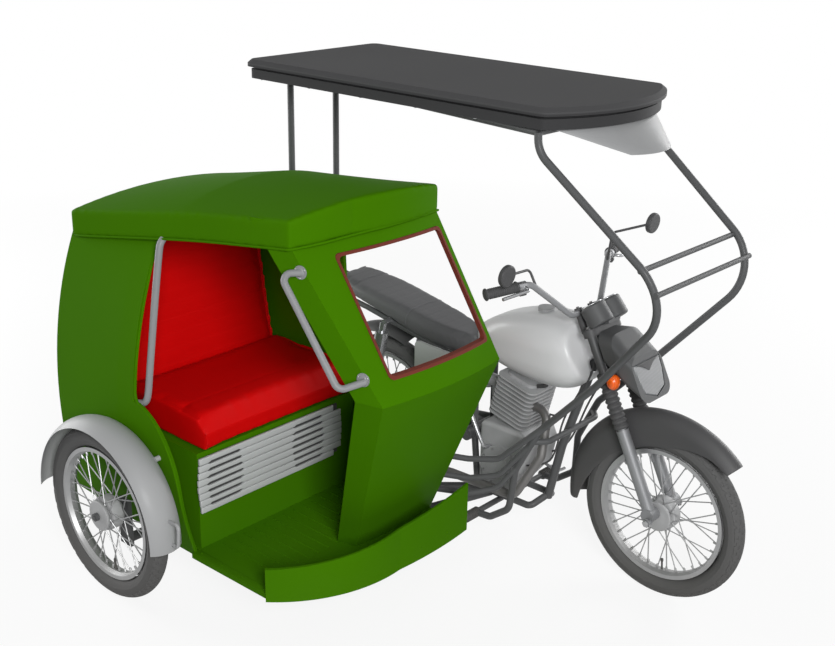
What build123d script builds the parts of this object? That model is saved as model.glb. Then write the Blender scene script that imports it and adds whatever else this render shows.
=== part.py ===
from build123d import *
import os
from math import atan2, cos, degrees, hypot, radians, sin, tan

# A light motorcycle with a covered passenger sidecar on its right and a canopy over its rider.
# Millimetres. +X is forward, +Y is left, +Z is up.
# The pieces are placed from the ground below the rear axle, in the motorcycle's middle plane.
# The finished vehicle is then moved so that its origin is the middle of its footprint.

# ---- wheels -------------------------------------------------------------------------------------
WHEELBASE = 1285
RIM_RADIUS = 240
RIM_WIDTH = 46
TYRE_WIDTH = 70
TYRE_RADIUS = RIM_RADIUS + TYRE_WIDTH
RIM_DEPTH = 15
SPOKE_COUNT = 36
SPOKE_DIAMETER = 4.5
HUB_RADIUS = 48
HUB_WIDTH = 84
HUB_FLANGE = 6
AXLE_RADIUS = 7.5
AXLE_PLAY = 0.08
SIDECAR_WHEEL_X = -100
SIDECAR_WHEEL_Y = -1320

# ---- steering -----------------------------------------------------------------------------------
RAKE = 26.5
YOKE_OFFSET = 38
LEG_SPACING = 140
HEAD_TUBE_LOW = 770
HEAD_TUBE_HIGH = 885
HEAD_TUBE_RADIUS = 25
STANCHION_RADIUS = 16
LOWER_LEG_RADIUS = 22
GAITER_RADIUS = 26
GAITER_LOW = 590
GAITER_RINGS = 9
YOKE_THICKNESS = 26
BAR_DIAMETER = 22
GRIP_DIAMETER = 34
BAR_BEND = 45
GAUGE_RADIUS = 46
MIRROR_FOOT = 32
MIRROR_RADIUS = 38
MIRROR_LEFT = (926, 375, 1207)
MIRROR_RIGHT = (827, -350, 1150)

# ---- motorcycle ---------------------------------------------------------------------------------
FRAME_TUBE = 32
THIN_TUBE = 22
SWINGARM_PIVOT_X = 480
SWINGARM_PIVOT_Z = 380
SWINGARM_TRACK = 190
PIVOT_RADIUS = 15
MUDGUARD_RADIUS = TYRE_RADIUS + 36
MUDGUARD_SHEET = 2.5
FRONT_MUDGUARD_GAP = 73
WHEEL_ROOM = 5.5
CRADLE_Z = 165
CRADLE_TUBE = 26
SPINE_Z = 738
ENGINE_X = 650
ENGINE_LENGTH = 246
ENGINE_TOP = 460
FIN_COUNT = 10
FIN_PITCH = 17.5
FIN_SIZE = (176, 172)
CASE_HALF_WIDTH = 102

# ---- canopy -------------------------------------------------------------------------------------
CANOPY_REAR = -462
CANOPY_CORNER = 940
CANOPY_NOSE = 1066
CANOPY_HALF_WIDTH = 358
CANOPY_TOP = 1715
CANOPY_THICKNESS = 70
CANOPY_TUBE = 26
SHELL_DEPTH = 26
SHELL_BEVEL = 16
GROOVE_INSET = 24
RIM_INSET = 14
RIM_HEIGHT = 34
ROOF_CORNER = 46
VISOR_SHEET = 6

# ---- cab ----------------------------------------------------------------------------------------
CAB_REAR_LOW = -540
CAB_REAR_MIDDLE = -507
CAB_REAR_TOP = -418
CAB_LEFT = -400
CAB_SHEET = 14
FLOOR_Z = 195
FLOOR_THICKNESS = 18
SIDE_LOW_Y = -1180
SIDE_WAIST_Y = -1235
SIDE_TOP_Y = -1160
SIDE_FOLD_X = -120
SIDE_TUCK = 15
WAIST_Z = 750
ROOF_REAR_Z = 1289
ROOF_FRONT_Z = 1423
ROOF_CROWN = 40
FASCIA = 92
CREASE_Z = 880
CREASE_X = 850
CREASE_RIGHT_Y = -960
SEAT_FRONT_X = 190
SEAT_BOX_Z = 570

SOFT_GAP = 0.5
SEAT_GAP = 0.3

axle = Vector(WHEELBASE, 0, TYRE_RADIUS)
steer_up = Vector(-sin(radians(RAKE)), 0, cos(radians(RAKE)))
steer_ahead = Vector(cos(radians(RAKE)), 0, sin(radians(RAKE)))
steer_foot = axle - steer_ahead * YOKE_OFFSET


def steer(height, ahead=0.0, left=0.0):
    """A point of the steering: on the steering axis at a height above the ground, then ahead and left of it."""
    along = (height - steer_foot.Z) / steer_up.Z
    return steer_foot + steer_up * along + steer_ahead * ahead + Vector(0, left, 0)


def tube(points, diameter, bend=40):
    """A round bar along straight runs joined by tangent arcs."""
    path = Line(*points) if len(points) == 2 else FilletPolyline(*points, radius=bend)
    return sweep(Plane(origin=path @ 0, z_dir=path % 0) * Circle(diameter / 2), path=path)


def rod(start, end, radius):
    """A round rod between two points."""
    start, end = Vector(*start), Vector(*end)
    span = end - start
    return Plane(origin=start, z_dir=span) * Cylinder(
        radius, span.length, align=(Align.CENTER, Align.CENTER, Align.MIN))


def both(shape):
    """A shape and its mirror image in the motorcycle's middle plane."""
    return shape + mirror(shape, Plane.XZ)


def left_and_right(points):
    """The same list of points on the left side and on the right side."""
    return [[(x, side * y, z) for x, y, z in points] for side in (1, -1)]


def fuse(shapes):
    """All the shapes as one."""
    shapes = list(shapes)
    return shapes[0].fuse(*shapes[1:]) if len(shapes) > 1 else shapes[0]


# ---- wheels -------------------------------------------------------------------------------------
def tyre():
    """A round-section tyre seated on the rim's lips."""
    half = TYRE_WIDTH / 2
    seat = RIM_WIDTH / 2 - 2.1
    bead = RIM_RADIUS - 6
    shoulder = (RIM_RADIUS + TYRE_RADIUS) / 2 + 2
    outline = Polyline((0, bead), (seat, bead), (seat, RIM_RADIUS + SEAT_GAP), (half, shoulder)) + ThreePointArc(
        (half, shoulder), (half * 0.72, TYRE_RADIUS - 13), (0, TYRE_RADIUS)) + Line((0, TYRE_RADIUS), (0, bead))
    section = make_face(outline)
    section += mirror(section, Plane.YZ)
    return revolve(Plane.XY * section, Axis.X).rotate(Axis.Z, 90)


def wheel():
    """A wire wheel: a well rim, a hub with two flanges and laced spokes, bored for its axle."""
    lip, well = RIM_RADIUS - 6.3, RIM_RADIUS - 6.3 - RIM_DEPTH
    half = RIM_WIDTH / 2
    rim = make_face(Polyline((-half, RIM_RADIUS), (-half, lip - 8), (-half * 0.4, well), (half * 0.4, well),
                             (half, lip - 8), (half, RIM_RADIUS), (half - 1.7, RIM_RADIUS), (half - 1.7, lip),
                             (1.7 - half, lip), (1.7 - half, RIM_RADIUS), (-half, RIM_RADIUS)))
    hub_half = HUB_WIDTH / 2
    hub = make_face(Polyline((-hub_half, 0), (-hub_half, HUB_RADIUS * 0.6), (-hub_half + 12, HUB_RADIUS),
                             (-hub_half + 12 + HUB_FLANGE, HUB_RADIUS), (-hub_half + 24, HUB_RADIUS * 0.72),
                             (hub_half - 24, HUB_RADIUS * 0.72), (hub_half - 12 - HUB_FLANGE, HUB_RADIUS),
                             (hub_half - 12, HUB_RADIUS), (hub_half, HUB_RADIUS * 0.6), (hub_half, 0),
                             (-hub_half, 0)))
    solid = revolve(rim, Axis.X) + revolve(hub, Axis.X)
    spokes = []
    for number in range(SPOKE_COUNT):
        side = 1 if number % 2 else -1
        lean = 1 if number % 4 < 2 else -1
        at_hub = radians(360 / SPOKE_COUNT * number + 42 * lean)
        at_rim = radians(360 / SPOKE_COUNT * number)
        inner = Vector(side * (hub_half - 15), (HUB_RADIUS - 5) * cos(at_hub), (HUB_RADIUS - 5) * sin(at_hub))
        outer = Vector(0, (well + 3) * cos(at_rim), (well + 3) * sin(at_rim))
        span = outer - inner
        spokes.append(extrude(Plane(origin=inner, z_dir=span) * RegularPolygon(SPOKE_DIAMETER / 2, 6), span.length))
    solid = fuse([solid] + spokes)
    solid -= Rot(0, 90, 0) * Cylinder(AXLE_RADIUS + AXLE_PLAY, HUB_WIDTH + 4)
    return solid.rotate(Axis.Z, 90)


def mudguard(centre, radius, width, drop, start, end, sheet=MUDGUARD_SHEET):
    """A bowed mudguard: an arched strip with turned-down sides, from one angle to another about its wheel."""
    half = width / 2
    outer = ThreePointArc((-half, radius - drop), (0, radius), (half, radius - drop))
    inner = ThreePointArc((half - sheet, radius - drop), (0, radius - sheet), (sheet - half, radius - drop))
    strip = make_face(outer + Line((half, radius - drop), (half - sheet, radius - drop)) + inner
                      + Line((sheet - half, radius - drop), (-half, radius - drop)))
    # The strip's section stands up from the wheel's axis, and is turned about it.
    section = Plane(origin=(0, 0, 0), x_dir=(0, 1, 0), z_dir=(1, 0, 0)) * strip
    arch = revolve(section, Axis((0, 0, 0), (0, -1, 0)), end - start)
    return arch.rotate(Axis((0, 0, 0), (0, -1, 0)), start - 90).translate(Vector(*centre))


# ---- steering assembly --------------------------------------------------------------------------
LEG_AHEAD = YOKE_OFFSET
LOWER_YOKE_Z = HEAD_TUBE_LOW - 14
UPPER_YOKE_Z = HEAD_TUBE_HIGH + 14
HALF_LEGS = LEG_SPACING / 2


def fork_legs():
    """Two telescopic legs: wide lowers with axle lugs, thin stanchions up through both yokes, and the axle."""
    top = steer(UPPER_YOKE_Z, LEG_AHEAD, HALF_LEGS) + steer_up * (YOKE_THICKNESS / 2 + 4)
    seal = steer(GAITER_LOW - 4, LEG_AHEAD, HALF_LEGS)
    foot = steer(TYRE_RADIUS, LEG_AHEAD, HALF_LEGS)
    toe = foot - steer_up * 16
    leg = rod(toe, seal, LOWER_LEG_RADIUS) + rod(seal, top, STANCHION_RADIUS)
    lug = Pos(*foot) * Rot(90, 0, 0) * Cylinder(LOWER_LEG_RADIUS + 3, LOWER_LEG_RADIUS * 2)
    legs = both(leg + lug)
    pin = Pos(*axle) * Rot(90, 0, 0) * Cylinder(AXLE_RADIUS, LEG_SPACING + 70)
    nut = Pos(axle.X, -HALF_LEGS - LOWER_LEG_RADIUS - 7, axle.Z) * Rot(90, 0, 0) * extrude(RegularPolygon(14, 6), 12, both=True)
    return legs + pin + both(nut)


def fork_yokes():
    """The two clamps that carry the legs, with the steering stem between them and the bar risers on top."""
    shapes = []
    for height in (LOWER_YOKE_Z, UPPER_YOKE_Z):
        plane = Plane(origin=steer(height), x_dir=steer_ahead, z_dir=steer_up)
        outline = make_hull([*Circle(HEAD_TUBE_RADIUS).edges(),
                             *(Pos(LEG_AHEAD, HALF_LEGS) * Circle(STANCHION_RADIUS + 10)).edges(),
                             *(Pos(LEG_AHEAD, -HALF_LEGS) * Circle(STANCHION_RADIUS + 10)).edges()])
        outline -= Locations((LEG_AHEAD, HALF_LEGS), (LEG_AHEAD, -HALF_LEGS)) * Circle(STANCHION_RADIUS)
        shapes.append(extrude(plane * outline, YOKE_THICKNESS / 2, both=True))
    stem = rod(steer(LOWER_YOKE_Z), steer(UPPER_YOKE_Z), 12)
    risers = [rod(steer(UPPER_YOKE_Z, -4, side * 40), BAR_CLAMP + Vector(0, side * 40, 0) + steer_up * 16, 14)
              for side in (1, -1)]
    bar = rod(BAR_CLAMP + Vector(0, -80, 0), BAR_CLAMP + Vector(0, 80, 0), BAR_DIAMETER / 2 + 0.1)
    return fuse(shapes + [stem] + risers) - bar


def fork_gaiters():
    """Ribbed rubber gaiters over the stanchions, from the lowers up to the lower yoke."""
    low, high = GAITER_LOW, LOWER_YOKE_Z - 16
    length = (high - low) / steer_up.Z
    pitch = length / GAITER_RINGS
    hole = STANCHION_RADIUS + 0.4
    points = [(hole, 0), (GAITER_RADIUS - 5, 0)]
    for ring in range(GAITER_RINGS):
        points += [(GAITER_RADIUS, (ring + 0.3) * pitch), (GAITER_RADIUS, (ring + 0.6) * pitch),
                   (GAITER_RADIUS - 5, (ring + 1) * pitch)]
    points += [(hole, length), (hole, 0)]
    sleeve = revolve(Plane.XZ * make_face(Polyline(*points)), Axis.Z)
    return both(Plane(origin=steer(low, LEG_AHEAD, HALF_LEGS), z_dir=steer_up) * sleeve)


def front_mudguard():
    """A deep mudguard close over the tyre, hung from the lowers by its side stays."""
    half = TYRE_WIDTH / 2 + WHEEL_ROOM + MUDGUARD_SHEET
    arch = mudguard(axle, TYRE_RADIUS + FRONT_MUDGUARD_GAP, 2 * half, 34, 45, 189)
    ties = []
    for side in (1, -1):
        strap = Plane(origin=axle + steer_up * 266 + Vector(0, side * (half - 1.1), 0), x_dir=steer_ahead,
                      z_dir=steer_up) * Box(24, 3, 192)
        lug = Plane(origin=axle + steer_up * 185 + Vector(0, side * (half + 4), 0), x_dir=steer_ahead,
                    z_dir=steer_up) * Box(20, 12, 24)
        ties += [strap, lug]
    return fuse([arch] + ties) - fork_legs()


NACELLE_SECTIONS = (  # ahead of the steering axis, low and high along it from the axle, half width, corner
    (66, 540, 672, 82, 45), (122, 462, 652, 94, 50), (172, 398, 556, 92, 42))
LENS_OUTLINE = ((-83, 536), (83, 536), (77, 486), (62, 430), (0, 406), (-62, 430), (-77, 486), (-83, 536))
LENS_BACK, LENS_FRONT = 150, 172


def steer_plane(ahead):
    """A plane across the steering's forward direction, its Y along the steering axis, from the axle's height."""
    return Plane(origin=steer_foot + steer_ahead * ahead, x_dir=(0, 1, 0), z_dir=steer_ahead)


def headlamp_shell():
    """A deep moulded nacelle in front of the yokes, with a brow over the pocket of its lens."""
    sections = [steer_plane(ahead) * Pos(0, (low + high) / 2) * RectangleRounded(2 * half, high - low, corner)
                for ahead, low, high, half, corner in NACELLE_SECTIONS]
    pocket = extrude(steer_plane(LENS_BACK - SEAT_GAP) * offset(make_face(Polyline(*LENS_OUTLINE)), SEAT_GAP), 60)
    ears = []
    for side in (1, -1):
        ear = Plane(origin=steer(830, 52, side * 57), x_dir=steer_ahead, z_dir=steer_up) * Box(62, 5, 44)
        leg = rod(steer(700, LEG_AHEAD, side * HALF_LEGS), steer(960, LEG_AHEAD, side * HALF_LEGS),
                  STANCHION_RADIUS + SEAT_GAP)
        ears.append(ear - leg)
    return (fuse([loft(sections, ruled=True)] + ears) - pocket).solids().sort_by(SortBy.VOLUME)[-1]


def headlamp_lens():
    """The pale shield-shaped lens in the nacelle's pocket."""
    lens = extrude(steer_plane(LENS_BACK) * make_face(Polyline(*LENS_OUTLINE)), LENS_FRONT - LENS_BACK)
    return chamfer(lens.faces().sort_by(Axis((0, 0, 0), tuple(steer_ahead)))[-1].edges(), 5)


def gauges():
    """Two round instrument pods on a plate over the upper yoke."""
    shapes = []
    for side in (1, -1):
        base = steer(UPPER_YOKE_Z, 80, side * 44) + steer_up * (YOKE_THICKNESS / 2 + 4)
        tip = base + (steer_up * 0.97 - steer_ahead * 0.25).normalized() * 74
        pod = rod(base, tip, GAUGE_RADIUS)
        shapes.append(fillet(pod.edges(), 9))
    foot = steer(UPPER_YOKE_Z, 62) + steer_up * (YOKE_THICKNESS / 2 + 7 + SEAT_GAP)
    plate = Plane(origin=foot, x_dir=steer_ahead, z_dir=steer_up) * Box(76, 70, 14)
    return fuse(shapes + [plate]) - fork_yokes() - fork_legs()


BAR_CLAMP = steer(UPPER_YOKE_Z + 68, -4)


def bar_points(side):
    """The handlebar's route from its middle out to one end."""
    return [(BAR_CLAMP.X, 0, BAR_CLAMP.Z), (BAR_CLAMP.X, side * 85, BAR_CLAMP.Z),
            (BAR_CLAMP.X - 73, side * 232, 1097), (BAR_CLAMP.X - 144, side * 384, 1079)]


def handlebar():
    """One bar, bent up from its clamp and swept back to both grips."""
    return fuse(tube(bar_points(side), BAR_DIAMETER, BAR_BEND) for side in (1, -1))


def along_grip(side, distance, lift=0.0, ahead=0.0):
    """A point beside the straight end of the bar, at a distance in from its tip."""
    inner, tip = (Vector(*point) for point in bar_points(side)[-2:])
    return tip + (inner - tip).normalized() * distance + Vector(ahead, 0, lift)


def grips():
    """Rubber grips over both bar ends."""
    shapes = []
    for side in (1, -1):
        grip = rod(along_grip(side, -3), along_grip(side, 118), GRIP_DIAMETER / 2)
        bore = rod(along_grip(side, 0), along_grip(side, 130), BAR_DIAMETER / 2 + 0.1)
        shapes.append(grip - bore)
    return Compound(children=[shape.solid() for shape in shapes])


def levers():
    """Brake and clutch levers in clamps beside the grips."""
    shapes = []
    for side in (1, -1):
        clamp = rod(along_grip(side, 121), along_grip(side, 149), 17)
        clamp -= rod(along_grip(side, 115), along_grip(side, 155), BAR_DIAMETER / 2 + 0.1)
        blade = tube([along_grip(side, 136, 0, 15), along_grip(side, 124, 0, 48), along_grip(side, 10, -4, 62)],
                     12, 16)
        shapes.append(clamp + blade)
    return Compound(children=[shape.solid() for shape in shapes])


def mirrors():
    """Two round mirrors on bent stalks from the bar, just below its upper bends."""
    shapes = []
    for side, head_at, rise in ((1, MIRROR_LEFT, (16, -4, 116)), (-1, MIRROR_RIGHT, (-30, -8, 64))):
        start, elbow = (Vector(*point) for point in bar_points(side)[1:3])
        foot = elbow + (start - elbow).normalized() * MIRROR_FOOT
        middle = Vector(*head_at)
        stalk = tube([foot, foot + Vector(*rise), middle + Vector(0, -side * 16, 0)], 9, 20)
        stalk -= tube(bar_points(side), BAR_DIAMETER + 2 * SEAT_GAP, BAR_BEND)
        head = Plane(origin=middle, z_dir=(-1, 0, 0.1)) * Cylinder(MIRROR_RADIUS, 20)
        shapes.append(stalk + fillet(head.edges(), 6))
    return Compound(children=[shape.solid() for shape in shapes])


def indicators():
    """Oval indicators on short stalks beside the headlamp."""
    shapes = []
    for side in (1, -1):
        root = steer(755, 97, side * 50)
        tip = steer(742, 99, side * 100)
        lamp = Pos(*steer(742, 99, side * 113)) * scale(Sphere(1), (22, 24, 27))
        shapes.append(rod(root, tip, 8) + lamp - headlamp_shell())
    return Compound(children=[shape.solid() for shape in shapes])


# ---- motorcycle, fixed --------------------------------------------------------------------------
SPINE_ROUTE = [tuple(steer(800, -20)), (900, 0, SPINE_Z), (520, 0, SPINE_Z), (SWINGARM_PIVOT_X, 0, 560)]
DOWN_ROUTE = [tuple(steer(795, -44)), (850, 0, 420), (800, 0, 190)]


def seat_rail(side, play=0.0):
    """One of the two rails that carry the saddle, or the room that it takes with some play."""
    route = [(500, 0, 641), (440, side * 80, 656), (-60, side * 90, 753), (-260, side * 80, 773)]
    return tube(route, THIN_TUBE + 2 * play, 40)


def moto_frame():
    """The welded tube frame: head tube, backbone, down tube, cradle and seat rails."""
    head = rod(steer(HEAD_TUBE_LOW), steer(HEAD_TUBE_HIGH), HEAD_TUBE_RADIUS)
    head -= rod(steer(HEAD_TUBE_LOW - 20), steer(HEAD_TUBE_HIGH + 20), 12.5)
    shapes = [head,
              tube(SPINE_ROUTE, FRAME_TUBE, 60),
              tube(DOWN_ROUTE, FRAME_TUBE, 80)]
    for side in (1, -1):
        shapes.append(tube([(800, 0, 200), (770, side * 70, CRADLE_Z), (520, side * 74, CRADLE_Z),
                            (SWINGARM_PIVOT_X, side * 56, SWINGARM_PIVOT_Z), (SWINGARM_PIVOT_X, side * 56, 650)],
                           CRADLE_TUBE, 28))
        shapes.append(seat_rail(side))
    shapes.append(rod((SWINGARM_PIVOT_X, -62, 640), (SWINGARM_PIVOT_X, 62, 640), 12))
    shapes.append(rod((-250, -85, 771), (-250, 85, 771), THIN_TUBE / 2))
    shapes.append(rod((SWINGARM_PIVOT_X, -75, SWINGARM_PIVOT_Z), (SWINGARM_PIVOT_X, 75, SWINGARM_PIVOT_Z), 24))
    pivot_bore = rod((SWINGARM_PIVOT_X, -90, SWINGARM_PIVOT_Z), (SWINGARM_PIVOT_X, 90, SWINGARM_PIVOT_Z),
                     PIVOT_RADIUS + AXLE_PLAY)
    return fuse(shapes) - pivot_bore


def engine():
    """One block for the crankcase, with the finned cylinder and head leaning forward on it."""
    bottom = CRADLE_Z + CRADLE_TUBE / 2 + SEAT_GAP
    side = make_face(Polyline((540, 215), (590, bottom), (650, bottom), (745, 300), (765, 400), (735, ENGINE_TOP),
                              (540, ENGINE_TOP), (540, 215)))
    case = extrude(Plane.XZ * fillet(side.vertices(), 26), CASE_HALF_WIDTH, both=True)
    case = fillet(case.faces().sort_by(Axis.Y)[0].edges() + case.faces().sort_by(Axis.Y)[-1].edges(), 18)
    lean = Plane(origin=(ENGINE_X - 22, 0, ENGINE_TOP - 30), z_dir=(0.25, 0, 1))
    shapes = [case, lean * extrude(RectangleRounded(128, 112, 30), 228)]
    for number in range(FIN_COUNT):
        shapes.append(lean * Pos(0, 0, 52 + number * FIN_PITCH) * extrude(RectangleRounded(*FIN_SIZE, 30), FIN_PITCH * 0.4))
    cover = Pos(ENGINE_X, -100, 302) * Rot(90, 0, 0) * Cylinder(84, 44)
    return fuse(shapes + [cover])


def exhaust():
    """The header pipe from the cylinder's front down under the engine, and the silencer along the right side."""
    pipe = tube([(ENGINE_X + 40, -30, 560), (ENGINE_X + 164, -52, 556), (ENGINE_X + 176, -96, 400),
                 (ENGINE_X + 100, -150, 232),
                 (ENGINE_X - 190, -160, 228), (250, -182, 222)], 34, 44)
    silencer = rod((260, -180, 218), (-190, -190, 280), 45)
    return (pipe + silencer - engine()).solids().sort_by(SortBy.VOLUME)[-1]


TANK_SECTIONS = (  # x, top z, bottom z, half width
    (480, 812, 745, 60), (590, 880, 694, 116), (740, 922, 674, 142), (880, 916, 676, 138), (975, 850, 730, 92))


def fuel_tank():
    """A teardrop fuel tank over the backbone."""
    sections = []
    for x, top, bottom, half in TANK_SECTIONS:
        height = top - bottom
        sections.append(Plane(origin=(x, 0, (top + bottom) / 2), x_dir=(0, 1, 0), z_dir=(1, 0, 0))
                        * RectangleRounded(half * 2, height, min(half, height / 2) * 0.82))
    room = Plane(origin=steer(840, -43), x_dir=steer_ahead, z_dir=steer_up) * Pos(150, 0, 0) * Box(300, 400, 500)
    tunnel = tube(SPINE_ROUTE, FRAME_TUBE + 2 * SEAT_GAP, 60)
    down_room = tube(DOWN_ROUTE, FRAME_TUBE + 2 * SEAT_GAP, 80)
    seat_pillar = rod((SWINGARM_PIVOT_X, -80, 650), (SWINGARM_PIVOT_X, 80, 650), 40)
    return loft(sections) - room - tunnel - down_room - seat_pillar


def tank_cap():
    """The filler cap."""
    return Pos(745, 0, 926) * Cylinder(30, 18) - fuel_tank()


LAMP_BRACKET_X = -350
SADDLE_SECTIONS = (  # x, top z, thickness, half width
    (-250, 852, 62, 85), (-120, 840, 60, 125), (150, 799, 80, 128), (400, 758, 84, 92), (470, 748, 58, 62))


def saddle():
    """The long seat that slopes down to the tank."""
    sections = [Plane(origin=(x, 0, top - thick / 2), x_dir=(0, 1, 0), z_dir=(1, 0, 0))
                * RectangleRounded(half * 2, thick, thick * 0.4) for x, top, thick, half in SADDLE_SECTIONS]
    rails = [seat_rail(side, SEAT_GAP) for side in (1, -1)]
    cross_tube = rod((-250, -110, 771), (-250, 110, 771), THIN_TUBE / 2 + SEAT_GAP)
    shock_room = Pos(60, 0, 723) * Box(84, 300, 46)
    return loft(sections) - rails[0] - rails[1] - cross_tube - shock_room


def side_covers():
    """Moulded covers under the saddle, one each side."""
    outline = make_face(Polyline((210, 690), (430, 680), (445, 500), (330, 470), (210, 560), (210, 690)))
    cover = extrude(Plane.XZ.offset(91.3) * fillet(outline.vertices(), 20), 16)
    return Compound(children=[(side - moto_frame() - saddle()).solid() for side in (cover, mirror(cover, Plane.XZ))])


def rear_mudguard():
    """The rear mudguard with the lamp bracket and the plate bracket behind the wheel."""
    radius = MUDGUARD_RADIUS + 22
    arch = mudguard((0, 0, TYRE_RADIUS), radius, TYRE_WIDTH + 50, 30, 70, 195)
    hanger = Pos(-250, 0, 665) * Box(8, 40, 215)
    lamp_mount = Pos(LAMP_BRACKET_X + 30, 0, 545) * Box(60, 40, 90)
    plate = Pos(LAMP_BRACKET_X - 10, 0, 440) * Box(3, 180, 120)
    plate -= Pos(LAMP_BRACKET_X - 10, 0, 475) * Rot(0, 90, 0) * Locations((0, 60), (0, -60)) * Cylinder(3.5, 10)
    tongue = Pos(LAMP_BRACKET_X + 15, 0, 470) * Box(50, 40, 8)
    wheel_room = Pos(0, 0, TYRE_RADIUS) * Rot(90, 0, 0) * Cylinder(radius - 5, 300)
    return fuse([arch] + [piece - wheel_room for piece in (hanger, lamp_mount, plate, tongue)]) - moto_frame()


def swingarm():
    """Two arms from the pivot to the rear axle, the axle, and the chain case on the left."""
    half = SWINGARM_TRACK / 2
    arms = []
    for side in (1, -1):
        pivot_eye = rod((SWINGARM_PIVOT_X, side * (half - 15), SWINGARM_PIVOT_Z),
                        (SWINGARM_PIVOT_X, side * (half + 15), SWINGARM_PIVOT_Z), 25)
        axle_eye = rod((0, side * (half - 11), TYRE_RADIUS), (0, side * (half + 11), TYRE_RADIUS), 27)
        arms += [rod((SWINGARM_PIVOT_X - 4, side * half, SWINGARM_PIVOT_Z), (6, side * half, TYRE_RADIUS + 1), 14),
                 pivot_eye, axle_eye]
    pivot = rod((SWINGARM_PIVOT_X, -half - 20, SWINGARM_PIVOT_Z), (SWINGARM_PIVOT_X, half + 20, SWINGARM_PIVOT_Z),
                PIVOT_RADIUS)
    pin = rod((0, -half - 35, TYRE_RADIUS), (0, half + 35, TYRE_RADIUS), AXLE_RADIUS)
    nuts = [rod((0, side * (half + 10), TYRE_RADIUS), (0, side * (half + 24), TYRE_RADIUS), 14) for side in (1, -1)]
    return fuse(arms + [pivot, pin] + nuts)


def rear_shocks():
    """Two spring and damper units from the arms up to the seat rails."""
    shapes = []
    for side in (1, -1):
        y = side * (SWINGARM_TRACK / 2 + 40)
        low, high = Vector(-10, y, TYRE_RADIUS + 38), Vector(70, y, 735)
        shapes.append(rod(low, high, 14) + rod(low + (high - low) * 0.28, low + (high - low) * 0.9, 27)
                      + rod(low, low + Vector(0, -side * 40, 0), 10) + rod(high, high + Vector(0, -side * 44, 0), 10)
                      - swingarm() - moto_frame())
    return Compound(children=[shape.solid() for shape in shapes])


def tail_lamp():
    """The red tail lamp on the rear mudguard."""
    return Pos(LAMP_BRACKET_X - 25 - SEAT_GAP, 0, 560) * fillet(Box(50, 120, 60).edges(), 10)


def crash_bar():
    """The tube guard round the front of the engine, with the rider's foot rests."""
    rest_z = CRADLE_Z - CRADLE_TUBE / 2 - 11
    brace = tube([(850, -190, 500), (890, -146, 500), (890, 146, 500), (850, 190, 500)], THIN_TUBE, 30)
    rest = rod((625, -275, rest_z), (625, 275, rest_z), THIN_TUBE / 2)
    return fuse([brace, rest]) - moto_frame() - hoops()


# ---- canopy -------------------------------------------------------------------------------------
CANOPY_RAIL_Z = CANOPY_TOP - CANOPY_THICKNESS - CANOPY_TUBE / 2 - 0.3
HOOP_ROUTE = [(900, 318, CANOPY_RAIL_Z), (903, 318, CANOPY_RAIL_Z - 62), (1419, 284, 1169), (1100, 198, 790),
              (872, 188, 545), (786, 196, 370), (775, 208, 210), (690, 208, 146), (636, 208, 141)]
HOOP_BENDS = [90, 165, 60, 60, 60, 50, 30]
CROSSBARS = ((1290, 1259), (1352, 1195))
CROSSBAR_HALF = 296
VISOR_DROP = 82


def hoops():
    """The front hoop's two long tubes, from the roof rails forward and down to the crash bar."""
    return fuse(tube([(x, side * y, z) for x, y, z in HOOP_ROUTE], CANOPY_TUBE, HOOP_BENDS) for side in (1, -1))


def canopy_frame():
    """The canopy's tubes: the front hoop from the frame up to the roof, its two crossbars, the roof rails and the
    rear posts."""
    shapes = [hoops()]
    for side in (1, -1):
        shapes.append(rod((-455, side * 124, 780), (-455, side * 124, CANOPY_RAIL_Z), CANOPY_TUBE / 2))
        shapes.append(rod((-455, side * 124, 780), (-259, side * 84, 773), 11))
        shapes.append(rod((-470, side * 124, CANOPY_RAIL_Z), (900, side * 318, CANOPY_RAIL_Z), CANOPY_TUBE / 2))
    shapes.append(rod((-455, -124, 800), (-455, 124, 800), 11))
    shapes.append(rod((900, -318, CANOPY_RAIL_Z), (900, 318, CANOPY_RAIL_Z), CANOPY_TUBE / 2))
    shapes += [rod((x, -CROSSBAR_HALF, z), (x, CROSSBAR_HALF, z), 9) for x, z in CROSSBARS]
    return fuse(shapes) - moto_frame()


def roof_outline(inset, height):
    """The canopy's plan: straight sides, a bowed front and rounded corners."""
    half, rear = CANOPY_HALF_WIDTH - inset, CANOPY_REAR + inset
    corner, nose = CANOPY_CORNER - inset * 0.6, CANOPY_NOSE - inset
    plan = make_face(Polyline((corner, half), (rear, half), (rear, -half), (corner, -half))
                     + ThreePointArc((corner, -half), (nose, 0), (corner, half)))
    return Plane.XY.offset(height) * fillet(plan.vertices(), ROOF_CORNER - inset)


def canopy_roof():
    """A shallow moulded roof: a bevelled shell that stands over a groove and an upright rim."""
    bottom = CANOPY_TOP - CANOPY_THICKNESS
    shell = loft([roof_outline(0, CANOPY_TOP - SHELL_DEPTH / 2), roof_outline(SHELL_BEVEL, CANOPY_TOP)], ruled=True)
    border = extrude(roof_outline(0, CANOPY_TOP - SHELL_DEPTH), SHELL_DEPTH / 2)
    groove = extrude(roof_outline(GROOVE_INSET, bottom), CANOPY_THICKNESS - SHELL_DEPTH)
    rim = extrude(roof_outline(RIM_INSET, bottom), RIM_HEIGHT)
    return fuse([border, shell, groove, rim])


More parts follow.
